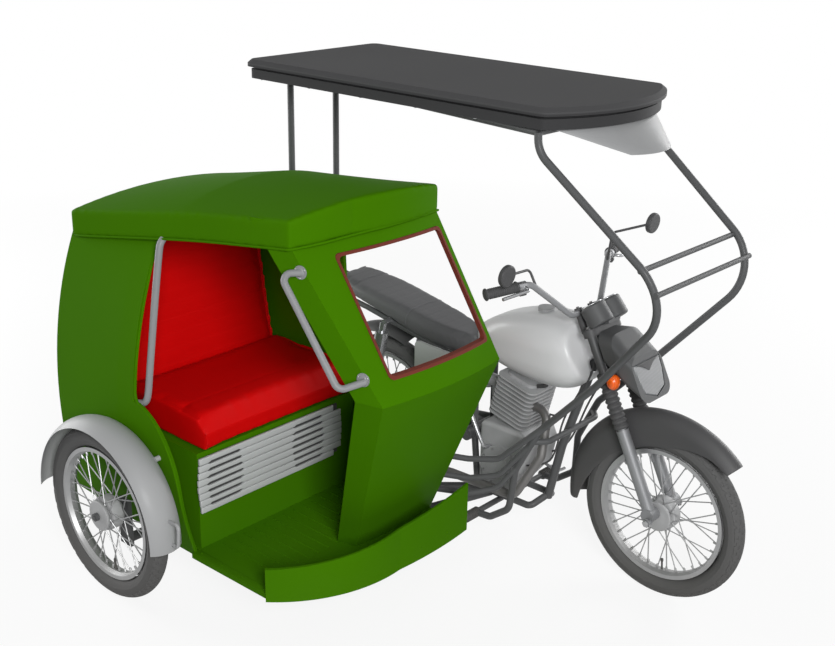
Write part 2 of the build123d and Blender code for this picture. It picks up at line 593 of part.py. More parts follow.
def canopy_visor():
    """The brim under the roof's front edge: a curved sheet that slopes forward and down."""
    sections = []
    for height, back, front, half in ((CANOPY_TOP - CANOPY_THICKNESS - SEAT_GAP, 930, 1040, 296),
                                      (CANOPY_TOP - CANOPY_THICKNESS - VISOR_DROP, 1118, 1160, 118)):
        outer = ThreePointArc((back, -half), (front, 0), (back, half))
        inner = ThreePointArc((back - VISOR_SHEET, half - 1), (front - VISOR_SHEET, 0), (back - VISOR_SHEET, 1 - half))
        band = make_face(outer + Line((back, half), (back - VISOR_SHEET, half - 1)) + inner
                         + Line((back - VISOR_SHEET, 1 - half), (back, -half)))
        sections.append(Plane.XY.offset(height) * band)
    return loft(sections, ruled=True)


# ---- cab ----------------------------------------------------------------------------------------
ROOF_FRONT_X = 566
ROOF_FRONT_RIGHT = (480, -1022)
ROOF_TAPER = 0.155
ROOF_BOW = 36
FRONT_LEAN = 0.65
FRONT_BOW = 26
JAMB_DEPTH = 95
NOSE_FOOT_X = 560
NOSE_FOOT_RIGHT_Y = -780
SKIRT_THICKNESS = 8
SKIRT_BOTTOM = 190
DOOR_REAR_TOP = (-44, 1262)
DOOR_REAR_LOW = (-30, 720)
WINDOW_LOW, WINDOW_HIGH = 950, 1280
WINDOW_RIGHT, WINDOW_LEFT = -885, -430
SEAL_WIDTH = 9
LIP_OVERHANG = 20
WALL_TOP_Z = 1270


def roof_right(x):
    """The roof's right edge, which runs inward toward the front."""
    return SIDE_TOP_Y + ROOF_TAPER * (x - CAB_REAR_TOP)


def roof_block(inset=0.0):
    """The roof's solid form: a crowned cap that rises forward, with an upright border all round."""
    sections = []
    for x, base, crown in ((CAB_REAR_TOP, ROOF_REAR_Z, ROOF_CROWN), (80, 1362, ROOF_CROWN * 1.7),
                           (ROOF_FRONT_X + 60, ROOF_FRONT_Z + 6, 22)):
        right = roof_right(x) + inset
        left = CAB_LEFT - inset
        top, low = base - inset, base - FASCIA - (1 if inset else 0)
        middle = (left + right) / 2
        wire = Polyline((right, top), (right, low), (left, low), (left, top)) + ThreePointArc(
            (left, top), (middle, top + crown), (right, top))
        sections.append(Plane(origin=(x, 0, 0), x_dir=(0, 1, 0), z_dir=(1, 0, 0)) * make_face(wire))
    block = loft(sections, ruled=True)
    front_right_x, front_right_y = ROOF_FRONT_RIGHT
    plan = make_face(Polyline((front_right_x - inset, front_right_y - 300), (front_right_x - inset, front_right_y),)
                     + ThreePointArc((front_right_x - inset, front_right_y),
                                     (ROOF_FRONT_X + ROOF_BOW - inset - 20, -760), (ROOF_FRONT_X - inset, CAB_LEFT))
                     + Polyline((ROOF_FRONT_X - inset, CAB_LEFT), (ROOF_FRONT_X - inset, CAB_LEFT + 50),
                                (CAB_REAR_TOP + inset, CAB_LEFT + 50), (CAB_REAR_TOP + inset, front_right_y - 300),
                                (front_right_x - inset, front_right_y - 300)))
    return block & extrude(Plane.XY.offset(1000) * plan, 700)


def cab_roof():
    """The roof cap, open below."""
    return roof_block() - roof_block(CAB_SHEET)


def side_section(x, sheet=None):
    """A section of the bulging right side: as a band of sheet, or filled to the left wall."""
    tuck = SIDE_TUCK * (SIDE_FOLD_X - x) / (SIDE_FOLD_X - CAB_REAR_LOW) if x < SIDE_FOLD_X else 0
    low, waist, top = SIDE_LOW_Y + tuck, SIDE_WAIST_Y + tuck, roof_right(x) + LIP_OVERHANG
    outer = ThreePointArc((low, FLOOR_Z), (waist, WAIST_Z), (top, WALL_TOP_Z))
    if sheet is None:
        edge = Polyline((top, WALL_TOP_Z), (CAB_LEFT, WALL_TOP_Z), (CAB_LEFT, FLOOR_Z), (low, FLOOR_Z))
    else:
        edge = (Line((top, WALL_TOP_Z), (top + sheet, WALL_TOP_Z))
                + ThreePointArc((top + sheet, WALL_TOP_Z), (waist + sheet, WAIST_Z), (low + sheet, FLOOR_Z))
                + Line((low + sheet, FLOOR_Z), (low, FLOOR_Z)))
    return Plane(origin=(x, 0, 0), x_dir=(0, 1, 0), z_dir=(1, 0, 0)) * make_face(outer + edge)


def side_wall(sheet=CAB_SHEET):
    """The cab's bulging right side, folded inward behind the doorway."""
    return loft([side_section(x, sheet) for x in (CAB_REAR_LOW - 10, SIDE_FOLD_X, SEAT_FRONT_X + 10)], ruled=True)


def rear_zone(forward):
    """All that lies behind the rear wall's leaning, bowed line, moved forward by a distance."""
    line = [(CAB_REAR_LOW + forward, FLOOR_Z), (CAB_REAR_MIDDLE + forward, (FLOOR_Z + ROOF_REAR_Z) / 2),
            (CAB_REAR_TOP + forward, ROOF_REAR_Z)]
    side = make_face(ThreePointArc(*line) + Polyline(line[2], (-700, ROOF_REAR_Z), (-700, FLOOR_Z), line[0]))
    return extrude(Plane.XZ.offset(-CAB_LEFT - 10) * side, 1000)


def cab_side_panel():
    """The right wall behind the doorway, cut to the doorway's swept rear edge."""
    edge = make_face(Polyline((-600, 100), (SEAT_FRONT_X, 100), (SEAT_FRONT_X, 470))
                     + ThreePointArc((SEAT_FRONT_X, 470), (120, 640), (DOOR_REAR_LOW[0], DOOR_REAR_LOW[1]))
                     + Polyline(DOOR_REAR_LOW, DOOR_REAR_TOP, (DOOR_REAR_TOP[0] + 10, 1320), (-600, 1320),
                                (-600, 100)))
    wall = side_wall() & extrude(Plane.XZ.offset(1000) * edge, 400)
    return wall - rear_zone(CAB_SHEET + SEAT_GAP) - roof_solid_below()


def roof_solid_below():
    """The room that the roof and its border take, with the seam's gap."""
    return Pos(0, 0, -SEAT_GAP) * roof_block() + roof_block() + Pos(-60, 0, 0) * roof_block()


def cab_rear_panel():
    """The rear wall, which leans forward toward the roof."""
    inside = loft([side_section(CAB_REAR_LOW - 10), side_section(SIDE_FOLD_X)], ruled=True)
    return inside & rear_zone(CAB_SHEET) - rear_zone(0) - roof_solid_below()


def cab_left_panel():
    """The left wall: full height beside the seat, low beside the footwell."""
    outline = make_face(Polyline((-600, FLOOR_Z), (480, FLOOR_Z), (640, 560), (300, 600), (150, 760), (120, WALL_TOP_Z),
                                 (-600, WALL_TOP_Z), (-600, FLOOR_Z)))
    wall = extrude(Plane.XZ.offset(-CAB_LEFT) * outline, CAB_SHEET)
    return wall - rear_zone(CAB_SHEET + SEAT_GAP) - roof_solid_below()


def front_band(height, left_x, right_x, right_y, bow, sheet, jamb=JAMB_DEPTH, left_y=CAB_LEFT):
    """A plan section of the cab's front: a bowed strip whose right end turns back along the doorway."""
    middle_y = (left_y + right_y) / 2
    middle_x = (left_x + right_x) / 2 + bow
    band = make_face(
        ThreePointArc((left_x, left_y), (middle_x, middle_y), (right_x, right_y))
        + Polyline((right_x, right_y), (right_x - jamb, right_y - 22), (right_x - jamb, right_y - 22 + sheet),
                   (right_x - sheet, right_y + sheet))
        + ThreePointArc((right_x - sheet, right_y + sheet), (middle_x - sheet, middle_y), (left_x - sheet, left_y))
        + Line((left_x - sheet, left_y), (left_x, left_y)))
    return Plane.XY.offset(height) * band


def windscreen_shell(shift=0.0, sheet=CAB_SHEET, jamb=JAMB_DEPTH):
    """The raked front above the crease, as a bowed shell."""
    top_z = 1400
    top_x = CREASE_X - FRONT_LEAN * (top_z - CREASE_Z)
    return loft([front_band(CREASE_Z, CREASE_X + shift, CREASE_X + shift, CREASE_RIGHT_Y, FRONT_BOW, sheet, jamb),
                 front_band(top_z, top_x + shift, top_x - 40 + shift, -1035, FRONT_BOW, sheet, jamb)], ruled=True)


def window_prism(grow=0.0):
    """The window's outline, swept straight through the front."""
    outline = make_face(Polyline((WINDOW_RIGHT - grow, WINDOW_LOW - grow), (WINDOW_LEFT + grow, WINDOW_LOW - grow),
                                 (WINDOW_LEFT + grow, WINDOW_HIGH + grow), (WINDOW_RIGHT - grow, WINDOW_HIGH + grow),
                                 (WINDOW_RIGHT - grow, WINDOW_LOW - grow)))
    outline = fillet(outline.vertices(), 16)
    return extrude(Plane(origin=(300, 0, 0), x_dir=(0, 1, 0), z_dir=(1, 0, 0)) * outline, 800)


def cab_front_panel():
    """The raked front above the crease, with its window cut and its doorway jamb."""
    return windscreen_shell() - window_prism(SEAL_WIDTH + SEAT_GAP) - roof_solid_below()


def window_seal():
    """The rubber seal round the window's edge."""
    return windscreen_shell(3, CAB_SHEET + 6) & (window_prism(SEAL_WIDTH) - window_prism())


def cab_nose():
    """The nose below the crease, sloping back to the floor, with its doorway jamb."""
    foot = FLOOR_Z + FLOOR_THICKNESS + SEAT_GAP
    return loft([front_band(CREASE_Z - SEAT_GAP, CREASE_X, CREASE_X, CREASE_RIGHT_Y, FRONT_BOW, CAB_SHEET),
                 front_band(foot, NOSE_FOOT_X, NOSE_FOOT_X, NOSE_FOOT_RIGHT_Y, 14, CAB_SHEET, 70)], ruled=True)


def skirt_line(inset):
    """The skirt's bowed plan line, from the doorway corner round to the left wall."""
    return (ThreePointArc((565 - inset, -1196 + inset), (690 - inset * 0.9, -1040 + inset * 0.5), (744 - inset, -760))
            + ThreePointArc((744 - inset, -760), (750 - inset, -580), (736 - inset, CAB_LEFT)))


def cab_skirt():
    """The bowed bumper plate that stands round the floor's front edge, higher to the left."""
    outer, inner = skirt_line(0), skirt_line(SKIRT_THICKNESS)
    band = make_face(outer + Line((736, CAB_LEFT), (736 - SKIRT_THICKNESS, CAB_LEFT)) + inner
                     + Line((565 - SKIRT_THICKNESS, -1196 + SKIRT_THICKNESS), (565, -1196)))
    plate = extrude(Plane.XY.offset(SKIRT_BOTTOM) * band, 260)
    cut = Plane(origin=(0, -1196, 308), x_dir=(1, 0, 0), z_dir=(0, -68, 796)) * Pos(500, 0, 200) * Box(1200, 2400, 400)
    return plate - cut


def cab_floor():
    """The floor plate, with a folded sill along the doorway."""
    edge = SKIRT_THICKNESS + SEAT_GAP
    left = CAB_LEFT - CAB_SHEET - SEAT_GAP
    right = SIDE_LOW_Y + CAB_SHEET + SEAT_GAP
    plan = make_face(skirt_line(edge) + Polyline((736 - edge, CAB_LEFT), (490, CAB_LEFT), (490, left),
                                                  (CAB_REAR_LOW + 20, left), (CAB_REAR_LOW + 20, right + SIDE_TUCK + 2),
                                                  (SIDE_FOLD_X, right + 2), (SEAT_FRONT_X + SEAT_GAP, right + 2),
                                                  (SEAT_FRONT_X + SEAT_GAP, SIDE_LOW_Y - 16), (565 - edge, -1196 + edge)))
    return extrude(Plane.XY.offset(FLOOR_Z) * plan, FLOOR_THICKNESS)


def seat_box():
    """The box under the passengers' seat."""
    low = FLOOR_Z + FLOOR_THICKNESS + SEAT_GAP
    return Pos((-300 + SEAT_FRONT_X) / 2, -790, (low + SEAT_BOX_Z) / 2) * Box(SEAT_FRONT_X + 300, 730, SEAT_BOX_Z - low)


GRILLE_LOW, GRILLE_HIGH, GRILLE_BARS = 352, 557, 8


def seat_grille():
    """A louvred panel on the front of the seat box."""
    pitch = (GRILLE_HIGH - GRILLE_LOW) / GRILLE_BARS
    panel = Pos(SEAT_FRONT_X + SEAT_GAP + 4, -835, (GRILLE_LOW + GRILLE_HIGH) / 2) * Box(8, 640, GRILLE_HIGH - GRILLE_LOW)
    bars = []
    for number in range(GRILLE_BARS):
        inset = 14 * abs(number - 3.5) / 3.5
        bars.append(Pos(SEAT_FRONT_X + 12, -835, GRILLE_LOW + pitch * (number + 0.5))
                    * Rot(0, 24, 0) * Box(9, 668 - inset, pitch * 0.62))
    return fuse([panel] + bars)


def seat_cushion():
    """The bench cushion, rolled over the box's front edge."""
    profile = make_face(Polyline((-235, SEAT_BOX_Z + SOFT_GAP), (SEAT_FRONT_X + 30, SEAT_BOX_Z + SOFT_GAP),
                                 (SEAT_FRONT_X + 36, 640), (SEAT_FRONT_X - 10, 690), (-235, 702),
                                 (-235, SEAT_BOX_Z + SOFT_GAP)))
    solid = extrude(Plane.XZ.offset(430) * fillet(profile.vertices(), 24), 725)
    return solid


def seat_back():
    """The upright seat back, leaning rearward."""
    profile = make_face(Polyline((-235 - SOFT_GAP, 580), (-235 - SOFT_GAP, 690), (-318, 1190), (-404, 1190), (-330, 580),
                                 (-235 - SOFT_GAP, 580)))
    return extrude(Plane.XZ.offset(430) * fillet(profile.vertices(), 24), 700)


def grab_pole():
    """The upright grab pole beside the doorway's rear edge."""
    pole = tube([(-50, -1226, 706), (8, -1206, 716), (2, -1118, 1284), (2, -1086, 1318)], 28, 20)
    return (pole - cab_side_panel() - roof_block()).solids().sort_by(SortBy.VOLUME)[-1]


def grab_handle():
    """The bent grab handle on the doorway's front jamb."""
    rail = tube([(567, -1020, 1256), (540, -1082, 1262), (765, -1062, 945), (800, -985, 960)], 22, 26)
    return rail - windscreen_shell()


BUMPER_Y = -1312
STRUT_ROUTES = (  # height at the cab's left wall, then the way to the near hoop
    (410, (645, -292, 400), (742, -240, 412), (902, -189, 578)),
    (330, (645, -292, 322), (742, -236, 345), (845, -190, 490)),
    (264, (655, -292, 264), (737, -235, 292), (795, -195, 388)))


def sidecar_chassis():
    """The tube chassis under the cab, its ties to the motorcycle, and the wheel's stub axle."""
    z = FLOOR_Z - 19 - SEAT_GAP
    shapes = [rod((-490, y, z), (560, y, z), 19) for y in (-470, -1110)]
    shapes += [rod((x, -1110, z), (x, -470, z), 16) for x in (-470, 200, 540)]
    shapes.append(rod((SIDECAR_WHEEL_X, -1255, z), (SIDECAR_WHEEL_X, -470, z), 17))
    shapes.append(Pos(SIDECAR_WHEEL_X, -1254, 246) * Box(60, 14, 176))
    shapes.append(rod((SIDECAR_WHEEL_X, -1250, TYRE_RADIUS), (SIDECAR_WHEEL_X, SIDECAR_WHEEL_Y - 62, TYRE_RADIUS), AXLE_RADIUS))
    shapes.append(rod((SIDECAR_WHEEL_X, -1260, TYRE_RADIUS), (SIDECAR_WHEEL_X, SIDECAR_WHEEL_Y + HUB_WIDTH / 2 + 3, TYRE_RADIUS), 14))
    shapes.append(rod((SIDECAR_WHEEL_X, SIDECAR_WHEEL_Y - HUB_WIDTH / 2 - 3, TYRE_RADIUS), (SIDECAR_WHEEL_X, SIDECAR_WHEEL_Y - 58, TYRE_RADIUS), 14))
    shapes += [rod((480, -475, z), (590, -80, CRADLE_Z), 16), rod((150, -475, z), (530, -80, CRADLE_Z), 16)]
    wall_room = Pos(450, CAB_LEFT + SEAT_GAP - 40, 400) * Box(200, 80, 500)
    struts = [rod((480, CAB_LEFT + 16, z), (480, CAB_LEFT + 16, 422), 14)]
    struts += [tube([(440, CAB_LEFT - 4, height), *rest], THIN_TUBE, 60) for height, *rest in STRUT_ROUTES]
    return fuse(shapes + [fuse(struts) - wall_room]) - moto_frame() - hoops() - engine()


def sidecar_mudguard():
    """The sidecar wheel's broad mudguard, with stays to the cab and a small tube bumper at its front foot."""
    centre = (SIDECAR_WHEEL_X, SIDECAR_WHEEL_Y, TYRE_RADIUS)
    arch = mudguard(centre, MUDGUARD_RADIUS, TYRE_WIDTH + 56, 26, -3, 178)
    stays = []
    for turn in (-radians(39.4), radians(39.4)):
        x, z = centre[0] + (MUDGUARD_RADIUS - 23) * sin(turn), centre[2] + (MUDGUARD_RADIUS - 23) * cos(turn)
        stays.append(rod((x, -1262, z), (x, -1232, z), 9))
    stays = [stay - side_wall() for stay in stays]
    front = centre[0] + MUDGUARD_RADIUS
    loop = tube([(front - 60, BUMPER_Y, 396), (front + 38, BUMPER_Y, 404), (front + 30, BUMPER_Y, 320),
                 (front - 60, BUMPER_Y, 318)], 12, 14)
    loop -= Pos(*centre) * Rot(90, 0, 0) * Cylinder(MUDGUARD_RADIUS + SEAT_GAP, 300)
    return fuse([arch] + stays) + loop


def main():
    sidecar_place = Pos(SIDECAR_WHEEL_X, SIDECAR_WHEEL_Y, TYRE_RADIUS)
    front_place, rear_place = Pos(*axle), Pos(0, 0, TYRE_RADIUS)
    one_tyre, one_wheel = tyre(), wheel()
    pieces = {
        "moto_frame": moto_frame(), "engine": engine(), "exhaust": exhaust(), "fuel_tank": fuel_tank(),
        "tank_cap": tank_cap(), "saddle": saddle(), "side_covers": side_covers(), "rear_mudguard": rear_mudguard(),
        "swingarm": swingarm(), "rear_shocks": rear_shocks(), "tail_lamp": tail_lamp(), "crash_bar": crash_bar(),
        "canopy_frame": canopy_frame(), "canopy_roof": canopy_roof(), "canopy_visor": canopy_visor(),
        "fork_legs": fork_legs(), "fork_yokes": fork_yokes(), "fork_gaiters": fork_gaiters(),
        "front_mudguard": front_mudguard(), "headlamp_shell": headlamp_shell(), "headlamp_lens": headlamp_lens(),
        "gauges": gauges(), "handlebar": handlebar(), "grips": grips(), "levers": levers(), "mirrors": mirrors(),
        "indicators": indicators(),
        "front_wheel": front_place * one_wheel, "front_tyre": front_place * one_tyre,
        "rear_wheel": rear_place * one_wheel, "rear_tyre": rear_place * one_tyre,
        "sidecar_wheel": sidecar_place * one_wheel, "sidecar_tyre": sidecar_place * one_tyre,
        "sidecar_chassis": sidecar_chassis(), "cab_floor": cab_floor(), "cab_side_panel": cab_side_panel(),
        "cab_rear_panel": cab_rear_panel(), "cab_left_panel": cab_left_panel(), "cab_roof": cab_roof(),
        "cab_front_panel": cab_front_panel(), "cab_nose": cab_nose(), "cab_skirt": cab_skirt(),
        "window_seal": window_seal(), "seat_box": seat_box(), "seat_grille": seat_grille(),
        "seat_cushion": seat_cushion(), "seat_back": seat_back(), "grab_pole": grab_pole(),
        "grab_handle": grab_handle(), "sidecar_mudguard": sidecar_mudguard(),
    }
    box = Compound(children=[piece.solid() if len(piece.solids()) == 1 else Compound(children=list(piece.solids()))
                             for piece in pieces.values()]).bounding_box()
    shift = (-(box.min.X + box.max.X) / 2, -(box.min.Y + box.max.Y) / 2, -box.min.Z)
    os.makedirs("parts", exist_ok=True)
    for name, piece in pieces.items():
        export_step(Pos(*shift) * piece, f"parts/{name}.step")
    print("origin moved by", [round(value, 3) for value in shift])


main()
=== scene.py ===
# %% [markdown]
# # A motorcycle taxi with a covered sidecar
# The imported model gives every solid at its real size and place. This script only dresses it: it adds a
# camera, a plain studio, one finish for each real material, and the parts that are too soft or too small for
# a solid model, such as stuffed seats, tyre tread, spoke nipples and screws.

from math import atan2, cos, degrees, pi, radians, sin

import bpy
from mathutils import Matrix, Vector


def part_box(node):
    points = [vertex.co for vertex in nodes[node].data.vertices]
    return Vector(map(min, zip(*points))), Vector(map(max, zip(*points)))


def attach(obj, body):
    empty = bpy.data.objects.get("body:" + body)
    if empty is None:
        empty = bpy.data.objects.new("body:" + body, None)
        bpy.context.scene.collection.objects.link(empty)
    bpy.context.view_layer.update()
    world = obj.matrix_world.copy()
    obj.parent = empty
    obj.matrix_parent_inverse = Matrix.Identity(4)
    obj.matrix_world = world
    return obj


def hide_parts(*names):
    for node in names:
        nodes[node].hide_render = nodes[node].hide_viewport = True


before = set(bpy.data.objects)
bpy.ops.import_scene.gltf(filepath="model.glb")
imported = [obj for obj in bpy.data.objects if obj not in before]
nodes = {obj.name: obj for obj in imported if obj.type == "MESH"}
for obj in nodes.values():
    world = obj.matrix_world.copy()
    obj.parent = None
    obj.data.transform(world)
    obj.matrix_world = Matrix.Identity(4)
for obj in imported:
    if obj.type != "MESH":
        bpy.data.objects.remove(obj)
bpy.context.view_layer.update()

# %% [markdown]
# ## The camera
# A perspective view is fixed by where the camera stands, which way it looks and how long its lens is. The
# three angles are easier to read than a rotation matrix, so the matrix is made from them: yaw turns the view
# to the left, pitch tips it down, and roll leans it a little.

# %% The camera
IMAGE_WIDTH = 835
FOCAL_PIXELS = 1209.834
SENSOR_WIDTH = 36.0
CAMERA_FROM_REAR_WHEEL = Vector((3.116, -3.354, 2.072))
CAMERA_YAW = radians(41.708)
CAMERA_PITCH = radians(20.408)
CAMERA_ROLL = radians(1.027)

rear_wheel = sum((Vector(corner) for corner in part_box("rear_tyre")), Vector()) / 2
camera_place = rear_wheel + CAMERA_FROM_REAR_WHEEL
ahead_level = Vector((-sin(CAMERA_YAW), cos(CAMERA_YAW), 0))
ahead = ahead_level * cos(CAMERA_PITCH) - Vector((0, 0, sin(CAMERA_PITCH)))
level_right = Vector((cos(CAMERA_YAW), sin(CAMERA_YAW), 0))
level_up = level_right.cross(ahead)
right = level_right * cos(CAMERA_ROLL) + level_up * sin(CAMERA_ROLL)
up = level_up * cos(CAMERA_ROLL) - level_right * sin(CAMERA_ROLL)

camera_data = bpy.data.cameras.new("camera")
camera_data.sensor_fit = "HORIZONTAL"
camera_data.sensor_width = SENSOR_WIDTH
camera_data.lens = FOCAL_PIXELS / IMAGE_WIDTH * SENSOR_WIDTH
camera_data.clip_end = 200
camera = bpy.data.objects.new("camera", camera_data)
camera.matrix_world = Matrix.Translation(camera_place) @ Matrix((right, up, -ahead)).transposed().to_4x4()
bpy.context.scene.collection.objects.link(camera)
bpy.context.scene.camera = camera
bpy.context.scene.view_settings.view_transform = "Standard"
print("lens", round(camera_data.lens, 2), "mm")

# %% [markdown]
# ## Shader maths as Python
# A node tree is long to write by hand. `Graph` is one tree, and its `node` method adds any node: settings
# first, because some of them change which sockets the node has, and then the values or links of the sockets.
# `Signal` wraps one output socket, so that `1 - mask * 0.4` adds its Math nodes by itself. `Finish` is the
# tree of one material.

# %% Signals
class Signal:
    """An output socket that can be used in arithmetic."""

    def __init__(self, graph, socket):
        self.graph, self.socket = graph, socket

    def maths(self, operation, first, second):
        return self.graph.node("ShaderNodeMath", {"operation": operation}, {0: first, 1: second})

    def __add__(self, other):
        return self.maths("ADD", self, other)

    def __sub__(self, other):
        return self.maths("SUBTRACT", self, other)

    def __rsub__(self, other):
        return self.maths("SUBTRACT", other, self)

    def __mul__(self, other):
        return self.maths("MULTIPLY", self, other)

    __radd__ = __add__
    __rmul__ = __mul__

    def clamped(self):
        return self.maths("MINIMUM", self.maths("MAXIMUM", self, 0.0), 1.0)


# %% Node trees and finishes
FINISHES = {}


class Graph:
    """A node tree, written as calls."""

    def __init__(self, tree):
        self.tree = tree

    def feed(self, socket, value):
        if isinstance(value, Signal):
            self.tree.links.new(value.socket, socket)
        else:
            socket.default_value = value

    def node(self, kind, settings=None, values=None, output=0):
        made = self.tree.nodes.new(kind)
        for name, value in (settings or {}).items():
            setattr(made, name, value)
        for name, value in (values or {}).items():
            self.feed(made.inputs[name], value)
        return Signal(self, made.outputs[output])

    def rays(self, *kinds):
        """1 for light paths of these kinds, such as Camera, and 0 for the light that falls on the vehicle."""
        signals = [self.node("ShaderNodeLightPath", output=f"Is {kind} Ray") for kind in kinds]
        return sum(signals[1:], signals[0])


class Finish(Graph):
    """One procedural material, read in object coordinates, which are metres in the model's frame."""

    def __init__(self, name):
        self.material = bpy.data.materials.new(name)
        self.material.use_nodes = True
        super().__init__(self.material.node_tree)
        self.shader = self.tree.nodes["Principled BSDF"]
        self.place = self.node("ShaderNodeTexCoord", output="Object")
        FINISHES[name] = self
        print("finish", name)

    def set(self, **values):
        for name, value in values.items():
            self.feed(self.shader.inputs[name.replace("_", " ")], value)

    def noise(self, scale, detail=2.0, roughness=0.5):
        return self.node("ShaderNodeTexNoise", None, {"Vector": self.place, "Scale": scale, "Detail": detail,
                                                      "Roughness": roughness})

    def axis(self, name):
        return self.node("ShaderNodeSeparateXYZ", None, {"Vector": self.place}, name)

    def mix(self, factor, first, second):
        values = {"Factor": factor, "A": first, "B": second}
        return self.node("ShaderNodeMix", {"data_type": "RGBA"}, values, "Result")

    def bump(self, height, strength, distance, under=None):
        values = {"Height": height, "Strength": strength, "Distance": distance}
        if under:
            values["Normal"] = under
        return self.node("ShaderNodeBump", None, values)


# %% [markdown]
# ## Colours
# Screen colours are written from 0 to 255 and are not linear, while a shader adds light linearly, so each
# colour is converted once. Small shifts in shade are multiplications of the linear colour.

# %% Colours
def srgb(red, green, blue):
    """A colour written as 0 to 255 screen values, as the linear colour that a shader takes."""
    parts = [value / 255 for value in (red, green, blue)]
    return tuple(p / 12.92 if p <= 0.04045 else ((p + 0.055) / 1.055) ** 2.4 for p in parts) + (1.0,)


def grey(value):
    """A plain grey, as a screen value."""
    return srgb(value, value, value)


def shade(colour, factor):
    """A colour made lighter or darker."""
    return tuple(channel * factor for channel in colour[:3]) + (1.0,)


WHITE = grey(255)
print("white", WHITE)

# %% [markdown]
# ## The studio floor
# The vehicle stands on a wide pale floor. The floor is white to the camera and in reflections, and for all
# other light it is grey, so that it neither lights the vehicle from below nor loses the vehicle's shadow:
# part of what the camera sees near the vehicle stays a lit surface, and farther off it fades into plain
# white.

# %% Floor
FLOOR_SIZE = 120
FLOOR_TO_CAMERA = (0.95, 0.95, 0.95, 1)
FLOOR_TO_LIGHT = (0.42, 0.42, 0.42, 1)
GLOW_NEAR = 0.86
FADE_START = 2.0
FADE_RATE = 0.03

bpy.ops.object.select_all(action="DESELECT")
bpy.ops.mesh.primitive_plane_add(size=FLOOR_SIZE)
floor = bpy.context.object
floor.name = "studio_floor"
pale = Finish("pale_floor")
floor_x, floor_y = pale.axis("X"), pale.axis("Y")
far_away = ((floor_x * floor_x + floor_y * floor_y - FADE_START ** 2) * FADE_RATE).clamped()
glow = pale.node("ShaderNodeEmission", None, {"Color": WHITE, "Strength": 1.0})
seen = pale.rays("Camera", "Glossy", "Transmission")
glow_share = (seen * (far_away * (1 - GLOW_NEAR) + GLOW_NEAR)).clamped()
lit_surface = Signal(pale, pale.shader.outputs[0])
floor_mix = pale.node("ShaderNodeMixShader", None, {0: glow_share, 1: lit_surface, 2: glow})
pale.set(Base_Color=pale.mix(pale.rays("Camera"), FLOOR_TO_LIGHT, FLOOR_TO_CAMERA), Roughness=0.9,
         Specular_IOR_Level=0.0)
pale.feed(pale.tree.nodes["Material Output"].inputs["Surface"], floor_mix)
floor.data.materials.append(pale.material)
print("floor", FLOOR_SIZE, "m wide")

# %% [markdown]
# ## Sky and lamps
# The sky too is white where it is seen and dim where it lights. One large soft lamp does most of the work,
# and two weaker ones reach the far sides, so that a painted colour comes out about as it was written from
# every side.

# %% Sky
SKY_ON_OBJECT = 0.12
world = bpy.data.worlds.new("studio_sky")
world.use_nodes = True
bpy.context.scene.world = world
sky = Graph(world.node_tree)
background = world.node_tree.nodes["Background"]
sky.feed(background.inputs["Color"], WHITE)
seen = sky.rays("Camera", "Glossy", "Transmission").clamped()
sky.feed(background.inputs["Strength"], seen * (1 - SKY_ON_OBJECT) + SKY_ON_OBJECT)
print("sky strength on the vehicle", SKY_ON_OBJECT)


# %% Lamps
LIT_POINT = Vector((0, 0, 0.7))


def lamp(name, place, size, power):
    """A large square lamp that points at the middle of the vehicle."""
    data = bpy.data.lights.new(name, "AREA")
    data.size, data.energy = size, power
    made = bpy.data.objects.new(name, data)
    towards = LIT_POINT - Vector(place)
    made.matrix_world = Matrix.Translation(place) @ towards.to_track_quat("-Z", "Y").to_matrix().to_4x4()
    bpy.context.scene.collection.objects.link(made)
    print(name, power, "W")


lamp("key_lamp", (4.9, -3.7, 3.5), size=2.2, power=370)
lamp("left_lamp", (1.5, 6.0, 2.0), size=3.5, power=240)
lamp("rear_lamp", (-5.5, -1.5, 1.9), size=3.5, power=240)

# %% [markdown]
# ## Paint
# Sheet steel that has been sprayed is never one flat colour. Three things break it up here: a slow change of
# shade across a panel, a fine bump like orange peel, and road dust that thickens toward the ground.

# %% Sprayed paint
DUST = srgb(118, 108, 92)
DUST_TOP = 0.75
CANOPY_SHADE_HEIGHT = 1.6985


def road_dust(finish, colour, most=0.35):
    """Dust over a colour, patchy and thickest near the ground: the dusty colour, and where the dust lies."""
    low = (1 - finish.axis("Z") * (1 / DUST_TOP)).clamped()
    mask = (low * low * finish.noise(9.0, 4.0, 0.6) * most).clamped()
    return finish.mix(mask, colour, DUST), mask


def sprayed(name, colour, roughness, coat=0.05, peel=0.12, dust=0.12, specular=0.15, painted_shade_below=None):
    """Sprayed sheet metal or tube, darkened by a given colour of painted shade below the canopy's rim height,
    if one is given.
    """
    finish = Finish(name)
    slow = finish.noise(2.6, 3.0)
    scuffs = ((finish.noise(26.0, 6.0, 0.7) - 0.62) * 5.0).clamped()
    tinted = finish.mix(slow, shade(colour, 0.93), shade(colour, 1.08))
    if painted_shade_below:
        # Painted shade: below the canopy's rim height the paint takes the darker colour, for the shadow on
        # the canopy's rim and underside.
        lower = ((CANOPY_SHADE_HEIGHT - finish.axis("Z")) * 250).clamped()
        tinted = finish.mix(lower, tinted, painted_shade_below)
    dusty, mask = road_dust(finish, tinted, dust)
    finish.set(Base_Color=dusty, Roughness=slow * 0.10 + (roughness - 0.05) + mask * 0.5 + scuffs * 0.12,
               Coat_Weight=(1 - mask * 2).clamped() * coat, Coat_Roughness=0.15, Specular_IOR_Level=specular,
               Normal=finish.bump(finish.noise(150.0), peel, 0.0004))


